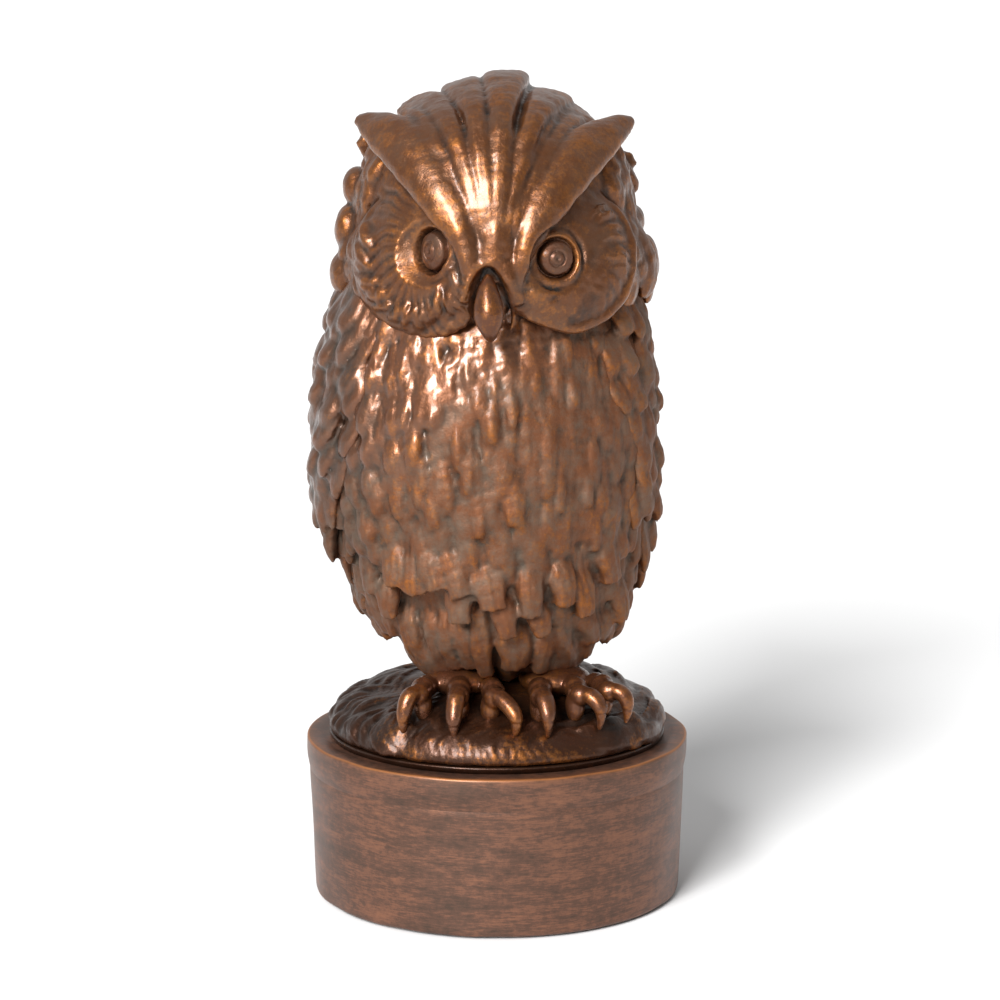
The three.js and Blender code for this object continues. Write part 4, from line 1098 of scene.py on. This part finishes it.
def build_plinth():
    drum = [(44.8, 1.2), (45.0, 0.55)]
    drum += corner(DRUM_FOOT_R - 1.0, 1.55, 1.0, -90, 0)
    drum += [(DRUM_TOP_R, DRUM_TOP - 2.0), (DRUM_TOP_R + 0.05, DRUM_TOP)]
    drum += [(DRUM_TOP_R - 0.3, DRUM_TOP + 1.2), (42.0, DRUM_TOP + 1.2)]
    drum = turned_mesh("plinth_drum_skin", evened(drum), uneven=0.1, seed=81)
    drum.finish(DRUM_FINISH, "plinth_bronze", ["plinth_drum"], relief=np.zeros(len(drum.at)))
    # The cap swells gently out of the drum, with no line between them.
    low = DRUM_TOP
    cap = [(42.5, low - 1.2), (DRUM_TOP_R - 0.3, low - 1.2), (DRUM_TOP_R + 0.06, low)]
    cap += [(DRUM_TOP_R + 0.3, low + 1.3), (RIM_R - 0.15, low + 3.0), (RIM_R, low + 4.8)]
    cap += corner(RIM_R - 0.7, PLINTH_H - 0.7, 0.7, 0, 90)
    cap += [(46.2, PLINTH_H), (45.4, PLINTH_H - 0.3), (3.6, PLINTH_H - 0.3)]
    cap = turned_mesh("plinth_cap_skin", evened(cap), uneven=0.1, seed=81)
    # Copper shows on the cap's top rim only.
    radius = np.hypot(cap.at[:, 0], cap.at[:, 1])
    rim = np.exp(-(((radius - RIM_R + 0.35) / 0.3) ** 2))
    rim *= step(PLINTH_H - 0.9, PLINTH_H - 0.3, cap.at[:, 2])
    cap.finish(DRUM_FINISH, "plinth_bronze", ["plinth_cap"], relief=rim)


# ---------- pieces kept as solids ----------
INNER_FINISHES = {
    "felt_pad": plain("dark felt", colour("33261f"), 0.92, 0.0, 1500.0, 0.5),
    "base_plate": plain("base board", colour("24211f"), 0.7, 0.0, 300.0),
    "ballast_slug": plain("raw iron", colour("3d3c3d"), 0.6, 0.85, 200.0),
}
STEEL = plain("zinc steel", colour("b4b3ad"), 0.34, 1.0, 400.0)


def finish_solids():
    """Gives each solid that is still shown its own material."""
    for node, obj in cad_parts.items():
        if obj.hide_render:
            continue
        for slot in obj.material_slots:
            slot.material = INNER_FINISHES.get(node, STEEL)


# ---------- room ----------
CAMERA_AT = (0.8, -774.2, 241.4)
CAMERA_PITCH = radians(10.09)
LENS = 108.7
FLOOR_HALF = 40.0
# Where the room's light starts and stops growing on the way back, and its strength there.
ROOM_FADE = (-0.5, 0.4, 0.27, 0.62)
FLOOR_WHITE = 0.78


def build_room():
    scene = bpy.context.scene
    floor_mesh = bpy.data.meshes.new("floor")
    corners = [(x * FLOOR_HALF, y * FLOOR_HALF, 0) for x, y in ((-1, -1), (1, -1), (1, 1), (-1, 1))]
    floor_mesh.from_pydata(corners, [], [(0, 1, 2, 3)])
    paper = Nodes("white floor")
    paper.set("Base Color", (FLOOR_WHITE, FLOOR_WHITE, FLOOR_WHITE, 1))
    paper.set("Roughness", 0.9)
    paper.set("Specular IOR Level", 0.0)
    floor_mesh.materials.append(paper.material)
    linked("floor", floor_mesh)

    world = bpy.data.worlds.new("studio")
    world.use_nodes = True
    tree = world.node_tree
    # White behind the object, dimmer toward the front of the room.
    split = tree.nodes.new("ShaderNodeSeparateXYZ")
    tree.links.new(tree.nodes.new("ShaderNodeTexCoord").outputs["Generated"], split.inputs[0])
    fade = tree.nodes.new("ShaderNodeMapRange")
    for index, value in enumerate(ROOM_FADE, 1):
        fade.inputs[index].default_value = value
    background = tree.nodes["Background"].inputs
    tree.links.new(split.outputs["Y"], fade.inputs[0])
    tree.links.new(fade.outputs[0], background["Strength"])
    background["Color"].default_value = (1, 1, 1, 1)
    scene.world = world

    def lamp(name, azimuth, elevation, watts, spread):
        """A distant soft lamp: degrees round from the front toward the left, and up."""
        light = bpy.data.lights.new(name, "SUN")
        light.energy = watts
        light.angle = radians(spread)
        a, e = radians(azimuth), radians(elevation)
        down = Vector((sin(a) * cos(e), cos(a) * cos(e), -sin(e)))
        linked(name, light).rotation_euler = down.to_track_quat("-Z", "Y").to_euler()

    lamp("key", azimuth=23, elevation=27, watts=4.7, spread=21)
    lamp("high", azimuth=33, elevation=44, watts=1.6, spread=14)

    lens = bpy.data.cameras.new("camera")
    lens.lens = LENS
    lens.clip_end = 100
    camera = linked("camera", lens)
    camera.location = Vector(CAMERA_AT) * MM
    camera.rotation_euler = (pi / 2 - CAMERA_PITCH, 0, 0)
    scene.camera = camera
    scene.view_settings.view_transform = "Standard"
    scene.view_settings.look = "None"


build_plinth()
build_mound()
build_foot("right_foot", RIGHT_TOES, (-9, -16, 59.5))
build_foot("left_foot", LEFT_TOES, (15, -15, 59.5))
build_body()
build_wing(1, "left_wing_skin", "left_wing")
build_wing(-1, "right_wing_skin", "right_wing")
build_tail()
build_head()
build_beak()
build_eye(1, "left_eye")
build_eye(-1, "right_eye")
finish_solids()
build_room()
